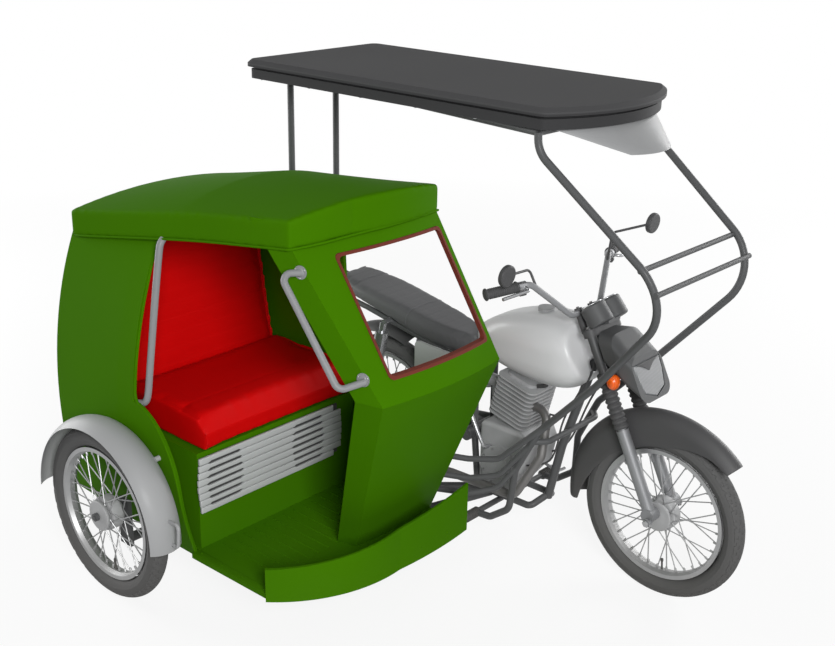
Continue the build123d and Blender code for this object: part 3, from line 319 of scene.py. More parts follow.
sprayed("green_paint", srgb(64, 117, 2), 0.55, coat=0.0, specular=0.012, dust=0.06)
sprayed("black_paint", srgb(86, 87, 88), 0.45, peel=0.03)
# The canopy's darker colour below its rim height is painted shade.
sprayed("dark_roof_paint", srgb(78, 78, 79), 0.6, coat=0.0, dust=0.02, specular=0.03,
        painted_shade_below=srgb(62, 62, 63))
sprayed("silver_paint", srgb(212, 213, 214), 0.38, coat=0.2, dust=0.04, specular=0.3)
sprayed("grey_paint", srgb(168, 169, 170), 0.45)
sprayed("rail_paint", srgb(140, 141, 143), 0.42, dust=0.02, specular=0.2)
sprayed("white_paint", srgb(188, 190, 190), 0.5, coat=0.08, dust=0.08, specular=0.3)

# %% [markdown]
# ## Bare metal
# Castings are dull and grainy, and drawn steel is bright and smooth. Both share one recipe: a little oily
# staining over the colour, grain in the bump, and a metal share that falls where dust lies.

# %% Cast and bright metal
def bare_metal(name, colour, roughness, grain=0.35, shine=0.75):
    """Sand-cast or drawn metal, with grain and oily stains."""
    finish = Finish(name)
    stains = finish.noise(14.0, 4.0, 0.6)
    tinted = finish.mix(stains, shade(colour, 0.78), shade(colour, 1.1))
    dusty, mask = road_dust(finish, tinted)
    finish.set(Base_Color=dusty, Metallic=(shine - mask).clamped(),
               Roughness=stains * 0.2 + roughness + mask * 0.4,
               Normal=finish.bump(finish.noise(260.0, 3.0, 0.65), grain, 0.0006))


bare_metal("cast_alloy", srgb(176, 177, 178), 0.5, shine=0.3)
bare_metal("chrome", srgb(178, 179, 181), 0.14, grain=0.05)
bare_metal("burnt_steel", srgb(120, 119, 118), 0.38, grain=0.12, shine=0.5)
bare_metal("spoke_steel", srgb(168, 169, 170), 0.30, grain=0.1)
bare_metal("mirror_silver", srgb(214, 216, 219), 0.03, grain=0.0)

# %% [markdown]
# The fork's lower legs are polished alloy, and the tubes above the rubber gaiters are dark enamel. The two
# are one solid, so one finish changes from the first to the second at the gaiters' height.

# %% The fork's two metals
GAITER_HEIGHT = 0.640
fork = Finish("fork_alloy")
upper = ((fork.axis("Z") - GAITER_HEIGHT) * 60).clamped()
stains = fork.noise(14.0, 4.0, 0.6)
lowers = fork.mix(stains, srgb(122, 123, 125), srgb(146, 147, 149))
fork.set(Base_Color=fork.mix(upper, lowers, srgb(74, 75, 76)), Metallic=(1 - upper) * 0.35,
         Roughness=stains * 0.15 + 0.36, Specular_IOR_Level=0.3,
         Normal=fork.bump(fork.noise(260.0, 3.0, 0.65), 0.1, 0.0006))

# %% [markdown]
# ## Rubber, plastic and lenses
# Moulded goods are one colour all through, with an even grain from the mould. A lamp's lens is glossy, and
# the stripes of light that fine ribs on its inside catch are painted into its colour, as painted highlights
# and shade.

# %% Rubber and plastic
def moulded(name, colour, roughness, grain=0.3, dust=0.35, specular=0.35):
    """Moulded rubber or plastic with an even grain."""
    finish = Finish(name)
    slow = finish.noise(5.0, 3.0, 0.6)
    tinted = finish.mix(slow, shade(colour, 0.86), shade(colour, 1.12))
    dusty, mask = road_dust(finish, tinted, dust)
    finish.set(Base_Color=dusty, Roughness=slow * 0.12 + (roughness - 0.06) + mask * 0.3,
               Specular_IOR_Level=specular, Normal=finish.bump(finish.noise(700.0), grain, 0.0005))


moulded("tyre_rubber", grey(88), 0.8, dust=0.15)
moulded("black_rubber", srgb(76, 76, 77), 0.7)
moulded("black_plastic", srgb(76, 76, 77), 0.5, grain=0.15, specular=0.25)
moulded("gauge_plastic", srgb(88, 89, 90), 0.5, grain=0.15, specular=0.25)
moulded("visor_plastic", srgb(150, 151, 152), 0.35, grain=0.05)
moulded("brown_rubber", srgb(112, 52, 42), 0.65, grain=0.2, specular=0.1)


# %% Lamp lenses
def lens(name, colour):
    """A glossy moulded lens with fine ribs, whose stripes of light are painted into its colour."""
    finish = Finish(name)
    ribs = finish.node("ShaderNodeTexWave", {"wave_type": "BANDS", "bands_direction": "Y"},
                       {"Vector": finish.place, "Scale": 45.0, "Distortion": 0.0})
    # The colour follows the ribs in lighter and darker bands: painted highlights and shade.
    finish.set(Base_Color=finish.mix(ribs, shade(colour, 0.82), shade(colour, 1.12)), Roughness=0.3,
               Coat_Weight=0.08, Coat_Roughness=0.1, Normal=finish.bump(ribs, 0.35, 0.001))


lens("lamp_lens", srgb(118, 120, 122))
lens("amber_lens", srgb(238, 96, 4))
lens("red_lens", srgb(150, 14, 12))

# %% [markdown]
# ## Seat coverings
# Vinyl has a pebbled grain about a millimetre across, which Voronoi cells give, over long soft wrinkles.

# %% Vinyl
def vinyl(name, colour, roughness, sheen):
    """Coated upholstery fabric with a leather grain."""
    finish = Finish(name)
    pebbles = finish.node("ShaderNodeTexVoronoi", {"feature": "DISTANCE_TO_EDGE"},
                          {"Vector": finish.place, "Scale": 620.0})
    slow = finish.noise(4.0)
    wrinkles = finish.bump(finish.noise(16.0, 4.0, 0.6), 0.25, 0.004)
    finish.set(Base_Color=finish.mix(slow, shade(colour, 0.9), shade(colour, 1.1)),
               Roughness=slow * 0.15 + (roughness - 0.07), Specular_IOR_Level=sheen,
               Normal=finish.bump(pebbles, 0.25, 0.0006, wrinkles))


vinyl("red_vinyl", srgb(207, 2, 3), 0.6, sheen=0.10)
vinyl("dark_vinyl", srgb(92, 92, 94), 0.55, sheen=0.35)

# %% [markdown]
# ## Which finish each solid takes
# A solid whose shape is already right keeps its mesh and only gets a better material.

# %% Dress the solids
WEARS = {
    "black_paint": "moto_frame canopy_frame crash_bar swingarm sidecar_chassis",
    "dark_roof_paint": "canopy_roof",
    "cast_alloy": "engine",
    "fork_alloy": "fork_legs",
    "chrome": "levers rear_shocks",
    "burnt_steel": "exhaust",
    "silver_paint": "fuel_tank side_covers",
    "grey_paint": "tank_cap sidecar_mudguard",
    "rail_paint": "grab_pole grab_handle handlebar",
    "dark_vinyl": "saddle",
    "black_plastic": "rear_mudguard front_mudguard grips mirrors fork_yokes",
    "gauge_plastic": "gauges headlamp_shell",
    "visor_plastic": "canopy_visor",
    "black_rubber": "fork_gaiters",
    "spoke_steel": "front_wheel rear_wheel sidecar_wheel",
    "tyre_rubber": "front_tyre rear_tyre sidecar_tyre",
    "green_paint": "cab_floor cab_side_panel cab_rear_panel cab_left_panel cab_roof cab_front_panel cab_nose "
                   "cab_skirt seat_box",
    "brown_rubber": "window_seal",
    "white_paint": "seat_grille",
    "red_vinyl": "seat_cushion seat_back",
    "lamp_lens": "headlamp_lens",
    "amber_lens": "indicators",
    "red_lens": "tail_lamp",
}


def wear(piece, finish_name):
    """Gives a piece one finish, over whatever it had."""
    piece.data.materials.clear()
    piece.data.materials.append(FINISHES[finish_name].material)


for finish_name, worn_by in WEARS.items():
    for node_name in worn_by.split():
        wear(nodes[node_name], finish_name)
undressed = set(nodes) - set(" ".join(WEARS.values()).split())
print("undressed:", sorted(undressed))

# %% [markdown]
# ## Small tools for modelling
# Each new piece is modelled as by hand: a primitive is placed, faces are picked by which way they look or
# where they lie, and edit-mode tools shape them. Places are measured as a mechanic would: ahead of the rear
# axle, left of the motorcycle's middle, and above the ground, in metres.

# %% Places and primitives
WHEELBASE = 1.285
WHEEL_RADIUS = 0.310
ground_under_axle = Vector((rear_wheel.x, rear_wheel.y, 0))


def at(ahead_of_axle, left_of_middle, height):
    """A place in the vehicle's own measures."""
    return ground_under_axle + Vector((ahead_of_axle, left_of_middle, height))


def facing(place, direction):
    """A placement whose own Z axis looks along a direction."""
    return Matrix.Translation(place) @ Vector(direction).to_track_quat("Z", "Y").to_matrix().to_4x4()


def middle_of(node):
    """The middle of a solid's box."""
    low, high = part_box(node)
    return (low + high) / 2


def alone(piece):
    """Makes a piece the active object and the only one selected."""
    bpy.ops.object.select_all(action="DESELECT")
    piece.select_set(True)
    bpy.context.view_layer.objects.active = piece
    return piece


def settled(piece):
    """Moves a piece's place, turn and scale into its mesh."""
    alone(piece)
    bpy.ops.object.transform_apply(location=True, rotation=True, scale=True)
    return piece


def primitive(kind, name, **settings):
    """Adds a primitive with nothing else selected."""
    bpy.ops.object.select_all(action="DESELECT")
    getattr(bpy.ops.mesh, f"primitive_{kind}_add")(**settings)
    bpy.context.object.name = name
    return settled(bpy.context.object)


def block(name, size, place=(0, 0, 0)):
    """A cube stretched to a length, a width and a height."""
    return primitive("cube", name, size=1, location=place, scale=size)


print("the rear axle stands over", ground_under_axle)

# %% [markdown]
# Picking in code replaces the mouse: a test looks at each face's centre and normal. Most pieces are then
# inset once or more, where each step has a width across the face and a depth out of it.

# %% Picking faces
def toward(*direction):
    """A test for the faces that look along a direction."""
    return lambda centre, normal: normal.dot(Vector(direction)) > 0.9


def ends(axis):
    """A test for the faces at both ends of an axis: 0 is x, 1 is y and 2 is z."""
    return lambda centre, normal: abs(normal[axis]) > 0.9


TOP, FOOT = toward(0, 0, 1), toward(0, 0, -1)


def pick(piece, wanted):
    """Opens a piece in edit mode with only the faces selected that pass a test."""
    alone(piece)
    bpy.ops.object.mode_set(mode="EDIT")
    bpy.ops.mesh.select_mode(type="FACE")
    bpy.ops.mesh.select_all(action="DESELECT")
    bpy.ops.object.mode_set(mode="OBJECT")
    for face in piece.data.polygons:
        face.select = wanted(face.center, face.normal)
    bpy.ops.object.mode_set(mode="EDIT")


# %% Edit-mode tools
def inset(piece, wanted, *steps):
    """Insets the picked faces, once for each step of a width and a depth."""
    pick(piece, wanted)
    for width, depth in steps:
        bpy.ops.mesh.inset(thickness=width, depth=depth)
    bpy.ops.object.mode_set(mode="OBJECT")
    return piece


def pulled(*way):
    """Extrudes what is picked, along a way."""
    bpy.ops.mesh.extrude_region_move(TRANSFORM_OT_translate={"value": way})


# %% Modifiers
def modified(piece, kind, **settings):
    """Adds a modifier and applies it at once."""
    alone(piece)
    modifier = piece.modifiers.new("shaping", kind)
    for name, value in settings.items():
        setattr(modifier, name, value)
    bpy.ops.object.modifier_apply(modifier="shaping")
    return piece


def bevelled(piece, width, segments=2):
    """Rounds the sharp edges of a piece."""
    return modified(piece, "BEVEL", width=width, segments=segments, limit_method="ANGLE",
                    angle_limit=radians(40))


# %% [markdown]
# What repeats is modelled once. Each copy gets its own mesh, moved to its place, and the copies are joined
# into one object. A finished piece has a finish in its material slot, and a body that it rides on.

# %% Joining and copying
def joined(pieces):
    """Joins pieces into the first of them."""
    alone(pieces[0])
    for piece in pieces[1:]:
        piece.select_set(True)
    if len(pieces) > 1:
        bpy.ops.object.join()
    return pieces[0]


def repeated(piece, places):
    """One object out of copies of a piece, one at each place."""
    settled(piece)
    name = piece.name
    copies = []
    for place in places:
        copy = bpy.data.objects.new(name + "_each", piece.data.copy())
        copy.data.transform(place)
        bpy.context.scene.collection.objects.link(copy)
        copies.append(copy)
    bpy.data.objects.remove(piece)
    whole = joined(copies)
    whole.name = name
    return whole


def finished(piece, finish_name, body="chassis", sharp=35):
    """Settles and smooths a piece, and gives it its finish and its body."""
    settled(piece)
    bpy.ops.object.shade_smooth_by_angle(angle=radians(sharp))
    wear(piece, finish_name)
    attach(piece, body)
    print(piece.name, len(piece.data.polygons), "faces")
    return piece


# %% [markdown]
# Bent tubes, beads, welts and cables are all round rods along a line. A curve with a round bevel is drawn
# through a few points and made a mesh, which is easier to correct than a swept tube.

# %% Rods
def rod_along(name, points, radius, sides=12, closed=False):
    """A round rod, bead or piping along a smooth line, made a mesh."""
    curve = bpy.data.curves.new(name, "CURVE")
    curve.dimensions = "3D"
    curve.bevel_depth, curve.bevel_resolution, curve.use_fill_caps = radius, sides // 4, True
    spline = curve.splines.new("NURBS")
    spline.points.add(len(points) - 1)
    for spot, place in zip(spline.points, points):
        spot.co = (*place, 1)
    spline.order_u, spline.use_endpoint_u, spline.use_cyclic_u, spline.resolution_u = 3, not closed, closed, 4
    drawn = bpy.data.objects.new(name, curve)
    bpy.context.scene.collection.objects.link(drawn)
    alone(drawn)
    bpy.ops.object.convert(target="MESH")
    return bpy.context.object


def route(name, line, radius, sides=12):
    """A rod along a line of places in the vehicle's own measures."""
    return rod_along(name, [at(*place) for place in line], radius, sides)


# %% [markdown]
# ## Tyres
# A light road tyre is a round tube of rubber whose crown is cut into blocks by slanting grooves. A torus has
# its faces in rings and rows, so the raised faces can be chosen by counting: every few rows one face stays
# low, one row later in each ring away from the middle, which draws the slant. Insetting the others with a
# little depth raises the blocks.

# %% Treaded tyres
WHEELS = {"front_tyre": "front_wheel_body", "rear_tyre": "rear_wheel_body",
          "sidecar_tyre": "sidecar_wheel_body"}
TYRE_THICK = 0.0688
TREAD_DEPTH = 0.0020
TREAD_RING = WHEEL_RADIUS - TREAD_DEPTH - TYRE_THICK / 2
TREAD_ROWS, SECTION_STEPS, BLOCK_ROWS = 150, 36, 5


def ring_number(centre):
    """How many faces away from the crown's middle a face lies, round the tube."""
    outward = Vector((centre.x, centre.z)).length - TREAD_RING
    return abs(degrees(atan2(centre.y, outward))) * SECTION_STEPS / 360


def is_block(centre, normal):
    row = round((degrees(atan2(centre.z, centre.x)) % 360) * TREAD_ROWS / 360 - 0.5)
    across = int(ring_number(centre))
    return across <= 5 and (row + 2 * across) % BLOCK_ROWS != 0


def is_side_line(centre, normal):
    return 9.0 < ring_number(centre) < 10.0


for node, body in WHEELS.items():
    tyre = primitive("torus", node + "_treaded", major_radius=TREAD_RING, minor_radius=TYRE_THICK / 2,
                     major_segments=TREAD_ROWS, minor_segments=SECTION_STEPS, rotation=(pi / 2, 0, 0))
    inset(tyre, is_block, (0.0011, TREAD_DEPTH))
    inset(tyre, is_side_line, (0.0016, 0.0008))
    tyre.location = middle_of(node)
    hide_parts(node)
    finished(tyre, "tyre_rubber", body, sharp=28)

# %% [markdown]
# ## Spoke nipples, valves and hub drums
# Each spoke ends in a small nut that is drawn up against the rim, and a valve goes through the rim between
# two of them. A drum brake fills the hub between the spokes, and a stepped cast plate closes it.

# %% Nipples
SPOKES = 36
NIPPLE_RADIUS = 0.2135


def round_wheel(node, turn, radius):
    """A placement at a radius round a wheel's axle, looking outward."""
    outward = Vector((cos(turn), 0, sin(turn)))
    return facing(middle_of(node) + outward * radius, outward)


def wheel_piece(body, what):
    """A piece's name after its wheel's."""
    return body.replace("_body", "") + "_" + what


for node, body in WHEELS.items():
    nut = primitive("cylinder", wheel_piece(body, "nipples"), vertices=8, radius=0.0042, depth=0.013)
    inset(nut, FOOT, (0.0012, 0.002))
    spoke_ends = [round_wheel(node, 2 * pi / SPOKES * number, NIPPLE_RADIUS) for number in range(SPOKES)]
    finished(repeated(nut, spoke_ends), "spoke_steel", body)

# %% Valves
VALVE_TURN = radians(275)
VALVE_RADIUS = 0.205

for node, body in WHEELS.items():
    stem = primitive("cylinder", wheel_piece(body, "valve"), vertices=12, radius=0.0035, depth=0.030)
    pick(stem, FOOT)
    pulled(0, 0, -0.002)
    bpy.ops.transform.resize(value=(1.5, 1.5, 1))
    pulled(0, 0, -0.009)
    bpy.ops.mesh.inset(thickness=0.0012, depth=0.001)
    bpy.ops.object.mode_set(mode="OBJECT")
    finished(repeated(stem, [round_wheel(node, VALVE_TURN, VALVE_RADIUS)]), "black_rubber", body)

# %% Drums and plates
PLATE_OFFSET = Vector((0, -0.0370, 0))

for node, body in WHEELS.items():
    drum = primitive("cylinder", wheel_piece(body, "drum"), vertices=64, radius=0.060, depth=0.038,
                     location=middle_of(node), rotation=(pi / 2, 0, 0))
    inset(drum, ends(1), (0.008, 0.003))
    plate = primitive("cylinder", "plate", vertices=64, radius=0.054, depth=0.008)
    inset(plate, TOP, (0.006, 0.002), (0.012, -0.002), (0.008, 0.003))
    plate = repeated(plate, [facing(middle_of(node) + PLATE_OFFSET, (0, -1, 0))])
    finished(bevelled(joined([drum, plate]), 0.0012), "cast_alloy", body)

# %% [markdown]
# ## Stuffed seats
# A seat pad is a sewn cover pulled over foam. The solid's form is copied a little smaller and remeshed into
# small even squares, and the cloth simulation then blows it up from inside, so that its sides crown and its
# corners stay drawn in. The swelling is capped, and the pad is laid flat where it rests on something.

# %% Pads by cloth simulation
PRESSURE = 4.0
FRAMES = 20


def copied(node, name):
    """A new object with a solid's form, its loose triangles merged."""
    piece = bpy.data.objects.new(name, nodes[node].data.copy())
    bpy.context.scene.collection.objects.link(piece)
    alone(piece)
    bpy.ops.object.mode_set(mode="EDIT")
    bpy.ops.mesh.select_all(action="SELECT")
    bpy.ops.mesh.remove_doubles(threshold=0.0002)
    bpy.ops.object.mode_set(mode="OBJECT")
    return piece


def remeshed(piece, voxel, rounds):
    """Turns a piece into small even squares and smooths them a number of rounds."""
    modified(piece, "REMESH", mode="VOXEL", voxel_size=voxel)
    return modified(piece, "SMOOTH", factor=0.5, iterations=rounds)


def blown_up(pad, most):
    """Swells a pad by pressure from inside, each point by no more than a cap."""
    start = [vertex.co.copy() for vertex in pad.data.vertices]
    cloth = alone(pad).modifiers.new("stuffing", "CLOTH")
    cloth.settings.quality = 4
    cloth.settings.use_pressure = True
    cloth.settings.uniform_pressure_force = PRESSURE
    cloth.settings.effector_weights.gravity = 0
    cloth.point_cache.frame_start, cloth.point_cache.frame_end = 1, FRAMES
    for number in range(1, FRAMES + 1):
        bpy.context.scene.frame_set(number)
    bpy.ops.object.modifier_apply(modifier="stuffing")
    bpy.context.scene.frame_set(1)
    for vertex, before in zip(pad.data.vertices, start):
        moved = vertex.co - before
        if moved.length > most:
            vertex.co = before + moved * (most / moved.length)


def stuffed(node, voxel, shrink, most, rests=()):
    """A stuffed pad in a solid's place. A rest is an axis, on whose low side the pad lies flat, and a gap."""
    pad = remeshed(copied(node, node + "_stuffed"), voxel, 3)
    for vertex in pad.data.vertices:
        vertex.co -= vertex.normal * shrink
    blown_up(pad, most)
    modified(pad, "SMOOTH", factor=0.5, iterations=2)
    modified(pad, "SUBSURF", levels=1, render_levels=1)
    low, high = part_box(node)
    for vertex in pad.data.vertices:
        for axis, gap in rests:
            vertex.co[axis] = max(vertex.co[axis], low[axis] + gap)
    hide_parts(node)
    return pad


# %% [markdown]
# A welt is a cord sewn into the seam where two pieces of cover meet. Its line is found by casting rays at the
# pad from all round, in one plane, so that it lies on the pad wherever the stuffing has pushed the cover.

# %% Welts
ALONG_X, ALONG_Y, ALONG_Z = Vector((1, 0, 0)), Vector((0, 1, 0)), Vector((0, 0, 1))


def ring_of_hits(pad, centre, first, second, reach=1.2, count=56):
    """Points round a pad's surface, in the plane of two directions through a centre."""
    points = []
    for number in range(count):
        turn = 2 * pi * number / count
        outward = first * cos(turn) + second * sin(turn)
        hit, place, normal, face = pad.ray_cast(centre + outward * reach, -outward)
        if hit:
            points.append(place)
    return points


def piping(name, rings, radius, finish_name):
    """Welts round a pad, as one piece."""
    return finished(joined([rod_along(name, ring, radius, closed=True) for ring in rings]), finish_name)


# %% The passengers' bench
WELT_INSET = 0.020


def bench_pad(node, rests):
    """One of the bench's two pads, with a welt near each end."""
    pad = stuffed(node, 0.009, 0.010, 0.014, rests)
    finished(pad, "red_vinyl", sharp=60)
    low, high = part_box(node)
    middle = middle_of(node)
    rings = [ring_of_hits(pad, Vector((middle.x, y, middle.z)), ALONG_X, ALONG_Z)
             for y in (low.y + WELT_INSET, high.y - WELT_INSET)]
    piping(node + "_piping", rings, 0.0030, "red_vinyl")


bench_pad("seat_cushion", ((2, 0.0005), (0, 0.001)))
bench_pad("seat_back", ((2, 0.0005),))

# %% [markdown]
# The rider's saddle is one long pad that slopes down to the tank. It is stuffed in the same way but less,
# because it is firmer, and two seams are sewn across it.

# %% The rider's saddle
SEAM_CENTRES = ((-0.130, 0.808), (0.165, 0.757))
long_seat = stuffed("saddle", 0.007, 0.007, 0.009)
finished(long_seat, "dark_vinyl", sharp=60)
seams = [ring_of_hits(long_seat, at(ahead_of_axle, 0, height), ALONG_Y, ALONG_Z, reach=0.4)
         for ahead_of_axle, height in SEAM_CENTRES]
piping("saddle_seams", seams, 0.0022, "dark_vinyl")

# %% [markdown]
# ## The louvred panel under the bench
# Eight pressed bars stand almost touching, in front of a dark sheet that is painted shade: it stands for the
# shadow in the slots between them. Toward both ends their edges are notched, and the notches of two
# neighbours make a long slot. A bar starts as a cube, is cut across where its notches begin and end, and the
# cut-off stretches are then squeezed.

# %% Bars
BARS = 8
PANEL_LOW, PANEL_HIGH = 0.352, 0.557
PANEL_RIGHT, PANEL_LEFT = -1.168, -0.502
BAR_X, BAR_THICK, BAR_GAP = 0.2037, 0.0095, 0.0030
BAR_PITCH = (PANEL_HIGH - PANEL_LOW) / BARS
SLOT_MIDDLES = (-1.050, -0.668)
SLOT_HALF, SLOT_TAPER = 0.078, 0.014
NOTCH, NOTCH_SLOPE = 0.0042, 0.004


def louvre_bar(number):
    """One bar, counted from the bottom."""
    from_middle = abs(number - (BARS - 1) / 2) / ((BARS - 1) / 2)
    right_end = PANEL_RIGHT + 0.010 * from_middle
    left_end = PANEL_LEFT - (0.042 if number in (0, BARS - 1) else 0.006 * from_middle)
    height = PANEL_LOW + BAR_PITCH * (number + 0.5)
    bar = block("seat_grille_bars", (BAR_THICK, left_end - right_end, BAR_PITCH - BAR_GAP),
                at(BAR_X, (right_end + left_end) / 2, height))
    half_slot = SLOT_HALF - SLOT_TAPER * from_middle
    bpy.ops.object.mode_set(mode="EDIT")
    for edge in [slot_middle + side * half_slot for slot_middle in SLOT_MIDDLES for side in (-1, 1)]:
        for step in (-NOTCH_SLOPE, NOTCH_SLOPE):
            bpy.ops.mesh.select_all(action="SELECT")
            bpy.ops.mesh.bisect(plane_co=at(0, edge + step, 0), plane_no=(0, 1, 0))
    bpy.ops.object.mode_set(mode="OBJECT")
    for vertex in bar.data.vertices:
        sideways = vertex.co.y - ground_under_axle.y
        above = vertex.co.z > height
        outermost = (number == BARS - 1 and above) or (number == 0 and not above)
        in_slot = any(abs(sideways - slot_middle) < half_slot - 0.001 for slot_middle in SLOT_MIDDLES)
        if in_slot and not outermost:
            vertex.co.z += -NOTCH if above else NOTCH
    return bevelled(bar, 0.0022, 3)


bars = joined([louvre_bar(number) for number in range(BARS)])
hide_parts("seat_grille")
finished(bars, "white_paint")

# %% Painted shade behind the slots
# The dark sheet behind the bars is painted shade: the shadow in the slots, put in as a black part.
slot_shade_size = (0.0080, PANEL_LEFT - PANEL_RIGHT - 0.030, PANEL_HIGH - PANEL_LOW - 0.010)
slot_shade_place = at(0.1948, (PANEL_RIGHT + PANEL_LEFT) / 2, (PANEL_LOW + PANEL_HIGH) / 2)
slot_shade_sheet = block("seat_grille_slot_shade", slot_shade_size, slot_shade_place)
inset(slot_shade_sheet, toward(1, 0, 0), (0.006, -0.0015))
finished(bevelled(slot_shade_sheet, 0.001, 1), "black_plastic")

# %% [markdown]
# ## Fastenings
# Screws, rivets and bolts hold sheet metal and castings together. Each kind is modelled once, and copies of
# it go to every place where the real vehicle would have one. A fastening's place comes with the direction
# that it looks along.

# %% Screws, rivets and bolts
def screw_heads(name, radius, height, finish_name, places, body="chassis"):
    """Domed screw heads with a pressed recess."""
    head = primitive("cylinder", name, vertices=16, radius=radius, depth=height)
    inset(head, TOP, (radius * 0.28, height * 0.35), (radius * 0.30, 0), (radius * 0.06, -height * 0.5))
    return finished(repeated(head, [facing(*place) for place in places]), finish_name, body)


def hex_bolts(name, radius, height, finish_name, places, body="chassis"):
    """Six-sided bolt heads on washers."""
    head = primitive("cylinder", name, vertices=6, radius=radius, depth=height, location=(0, 0, height / 2))
    pick(head, FOOT)
    pulled(0, 0, 0.0001)
    bpy.ops.transform.resize(value=(1.35, 1.35, 1))
    pulled(0, 0, -height * 0.25)
    bpy.ops.object.mode_set(mode="OBJECT")
    inset(head, TOP, (radius * 0.18, height * 0.12))
    return finished(repeated(head, [facing(*place) for place in places]), finish_name, body)


# %% [markdown]
# ## Beads along the sheet edges
# A sheet's raw edge is rolled into a bead, so that it is stiff and doesn't cut. One bead follows the roof's
# border and one the swept rear edge of the doorway. Both need the sheet's own line: the roof rises forward
# and narrows, its front is bowed, and the side wall bulges at its waist.

# %% Lines of the roof and the side wall
ROOF_LINE = ((-0.418, 1.289), (0.080, 1.362), (0.626, 1.429))
ROOF_BORDER = 0.092
ROOF_RIGHT, ROOF_TAPER = -1.160, 0.155
SIDE_LEVELS = (0.195, 0.750, 1.270)
SIDE_FOOT, SIDE_WAIST, SIDE_LIP = -1.180, -1.235, 0.020
FOLD_X, TUCK, TUCK_LENGTH = -0.120, 0.015, 0.420
CAB_LEFT = -0.400
LIP_FORWARD, LIP_SPREAD = 0.050, 1.022


def roof_level(x):
    """The height of the roof border's lower edge."""
    (x0, z0), (x1, z1) = ROOF_LINE[:2] if x < ROOF_LINE[1][0] else ROOF_LINE[1:]
    return z0 + (z1 - z0) * (x - x0) / (x1 - x0) - ROOF_BORDER


def roof_edge(x):
    """How far out the roof's right edge stands."""
    return ROOF_RIGHT + ROOF_TAPER * (x - ROOF_LINE[0][0])


def through_three(knots, values, spot):
    """The value at a spot of the parabola through three knots."""
    total = 0
    for number, knot in enumerate(knots):
        share = values[number]
        for other in knots:
            if other != knot:
                share *= (spot - other) / (knot - other)
        total += share
    return total


def side_edge(x, z):
    """How far out the side wall stands: it bulges at its waist, and behind its fold it is tucked in."""
    tuck = TUCK * max(FOLD_X - x, 0) / TUCK_LENGTH
    return through_three(SIDE_LEVELS, (SIDE_FOOT + tuck, SIDE_WAIST + tuck, roof_edge(x) + SIDE_LIP), z)


def lipped(place):
    """Draws a place of the roof's border out over the walls, most at its front corner by the doorway."""
    toward_right = min(max((-place.y - 0.80) / 0.22, 0), 1)
    toward_front = min(max((place.x - 0.20) / 0.28, 0), 1)
    left = CAB_LEFT + (place.y - CAB_LEFT) * LIP_SPREAD
    return Vector((place.x + LIP_FORWARD * toward_right * toward_front, left, place.z))


print("the roof's right edge runs from", roof_edge(ROOF_LINE[0][0]), "to", roof_edge(ROOF_LINE[-1][0]))


# %% Beads of the roof and the doorway
FRONT_BOW = ((0.480, -1.022), (0.582, -0.760), (0.566, -0.400))
DOORWAY = ((0.190, 0.215), (0.190, 0.300), (0.190, 0.400), (0.190, 0.470), (0.180, 0.532), (0.157, 0.588),
           (0.120, 0.640), (0.072, 0.683), (0.022, 0.709), (-0.030, 0.722), (-0.031, 0.850), (-0.035, 1.000),
           (-0.040, 1.150), (-0.043, 1.225))
rear_run = [(-0.418, y) for y in (-0.430, -0.600, -0.800, -1.000, -1.140)]
side_run = [(x, roof_edge(x)) for x in (-0.400, -0.250, -0.100, 0.050, 0.200, 0.350, 0.470)]
front_run = [tuple(through_three((0, 0.5, 1), parts, number / 8) for parts in zip(*FRONT_BOW))
             for number in range(9)]
border = [lipped(Vector((x, y, roof_level(x) + 0.003))) for x, y in rear_run + side_run + front_run]
finished(route("roof_border_bead", border, 0.0042), "green_paint")
finished(route("doorway_bead", [(x, side_edge(x, z) + 0.004, z) for x, z in DOORWAY], 0.0050), "green_paint")

# %% [markdown]
# ## Footwell
# The floor is the same green sheet as the walls. Ribs pressed into it run fore and aft, so that a shoe
# doesn't slip, and a thin strip is screwed down along the sill where people step in. One rib is shaped and
# copied across the floor.

# %% Ribs and sill strip
RIBS, RIB_PITCH = 14, 0.046
SILL_Y = -1.178

rib = inset(block("footwell_ribs", (0.280, 0.007, 0.0030)), TOP, (0.0015, 0))
rib_places = [Matrix.Translation(at(0.355, -1.080 + RIB_PITCH * number, 0.2140)) for number in range(RIBS)]
finished(repeated(bevelled(rib, 0.0014), rib_places), "green_paint")
sill = inset(block("sill_strip", (0.355, 0.030, 0.0024), at(0.378, SILL_Y, 0.2142)), TOP, (0.004, 0.0010))
finished(bevelled(sill, 0.0006, 1), "green_paint")
screw_heads("sill_screws", 0.0042, 0.0022, "green_paint",
            [(at(x, SILL_Y, 0.2167), (0, 0, 1)) for x in (0.220, 0.325, 0.430, 0.535)])

# %% [markdown]
# ## Grab rails
# A passenger pulls on two painted tubes to get in. The upright one bends in toward the wall at both ends,
# which a rod along a smooth line gives at once. The one on the front jamb ends in round pressed flanges, and
# each flange has three screws.

# %% Grab pole
POLE_LINE = (
    (-0.046, -1.2245, 0.706), (-0.010, -1.214, 0.709), (0.006, -1.204, 0.724), (0.006, -1.190, 0.820),
    (0.004, -1.154, 1.040), (0.002, -1.121, 1.225), (0.002, -1.114, 1.250), (0.002, -1.100, 1.262))
pole = route("grab_pole_rail", POLE_LINE, 0.0120, sides=20)
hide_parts("grab_pole")
finished(pole, "rail_paint")

# %% Feet of the grab handle
JAMB_OUTWARD = (0.2256, -0.974, 0)
FLANGE = 0.022
FEET = {"handle_upper_foot": at(0.5630, -1.0200, 1.2560), "handle_lower_foot": at(0.7830, -0.9760, 0.9590)}

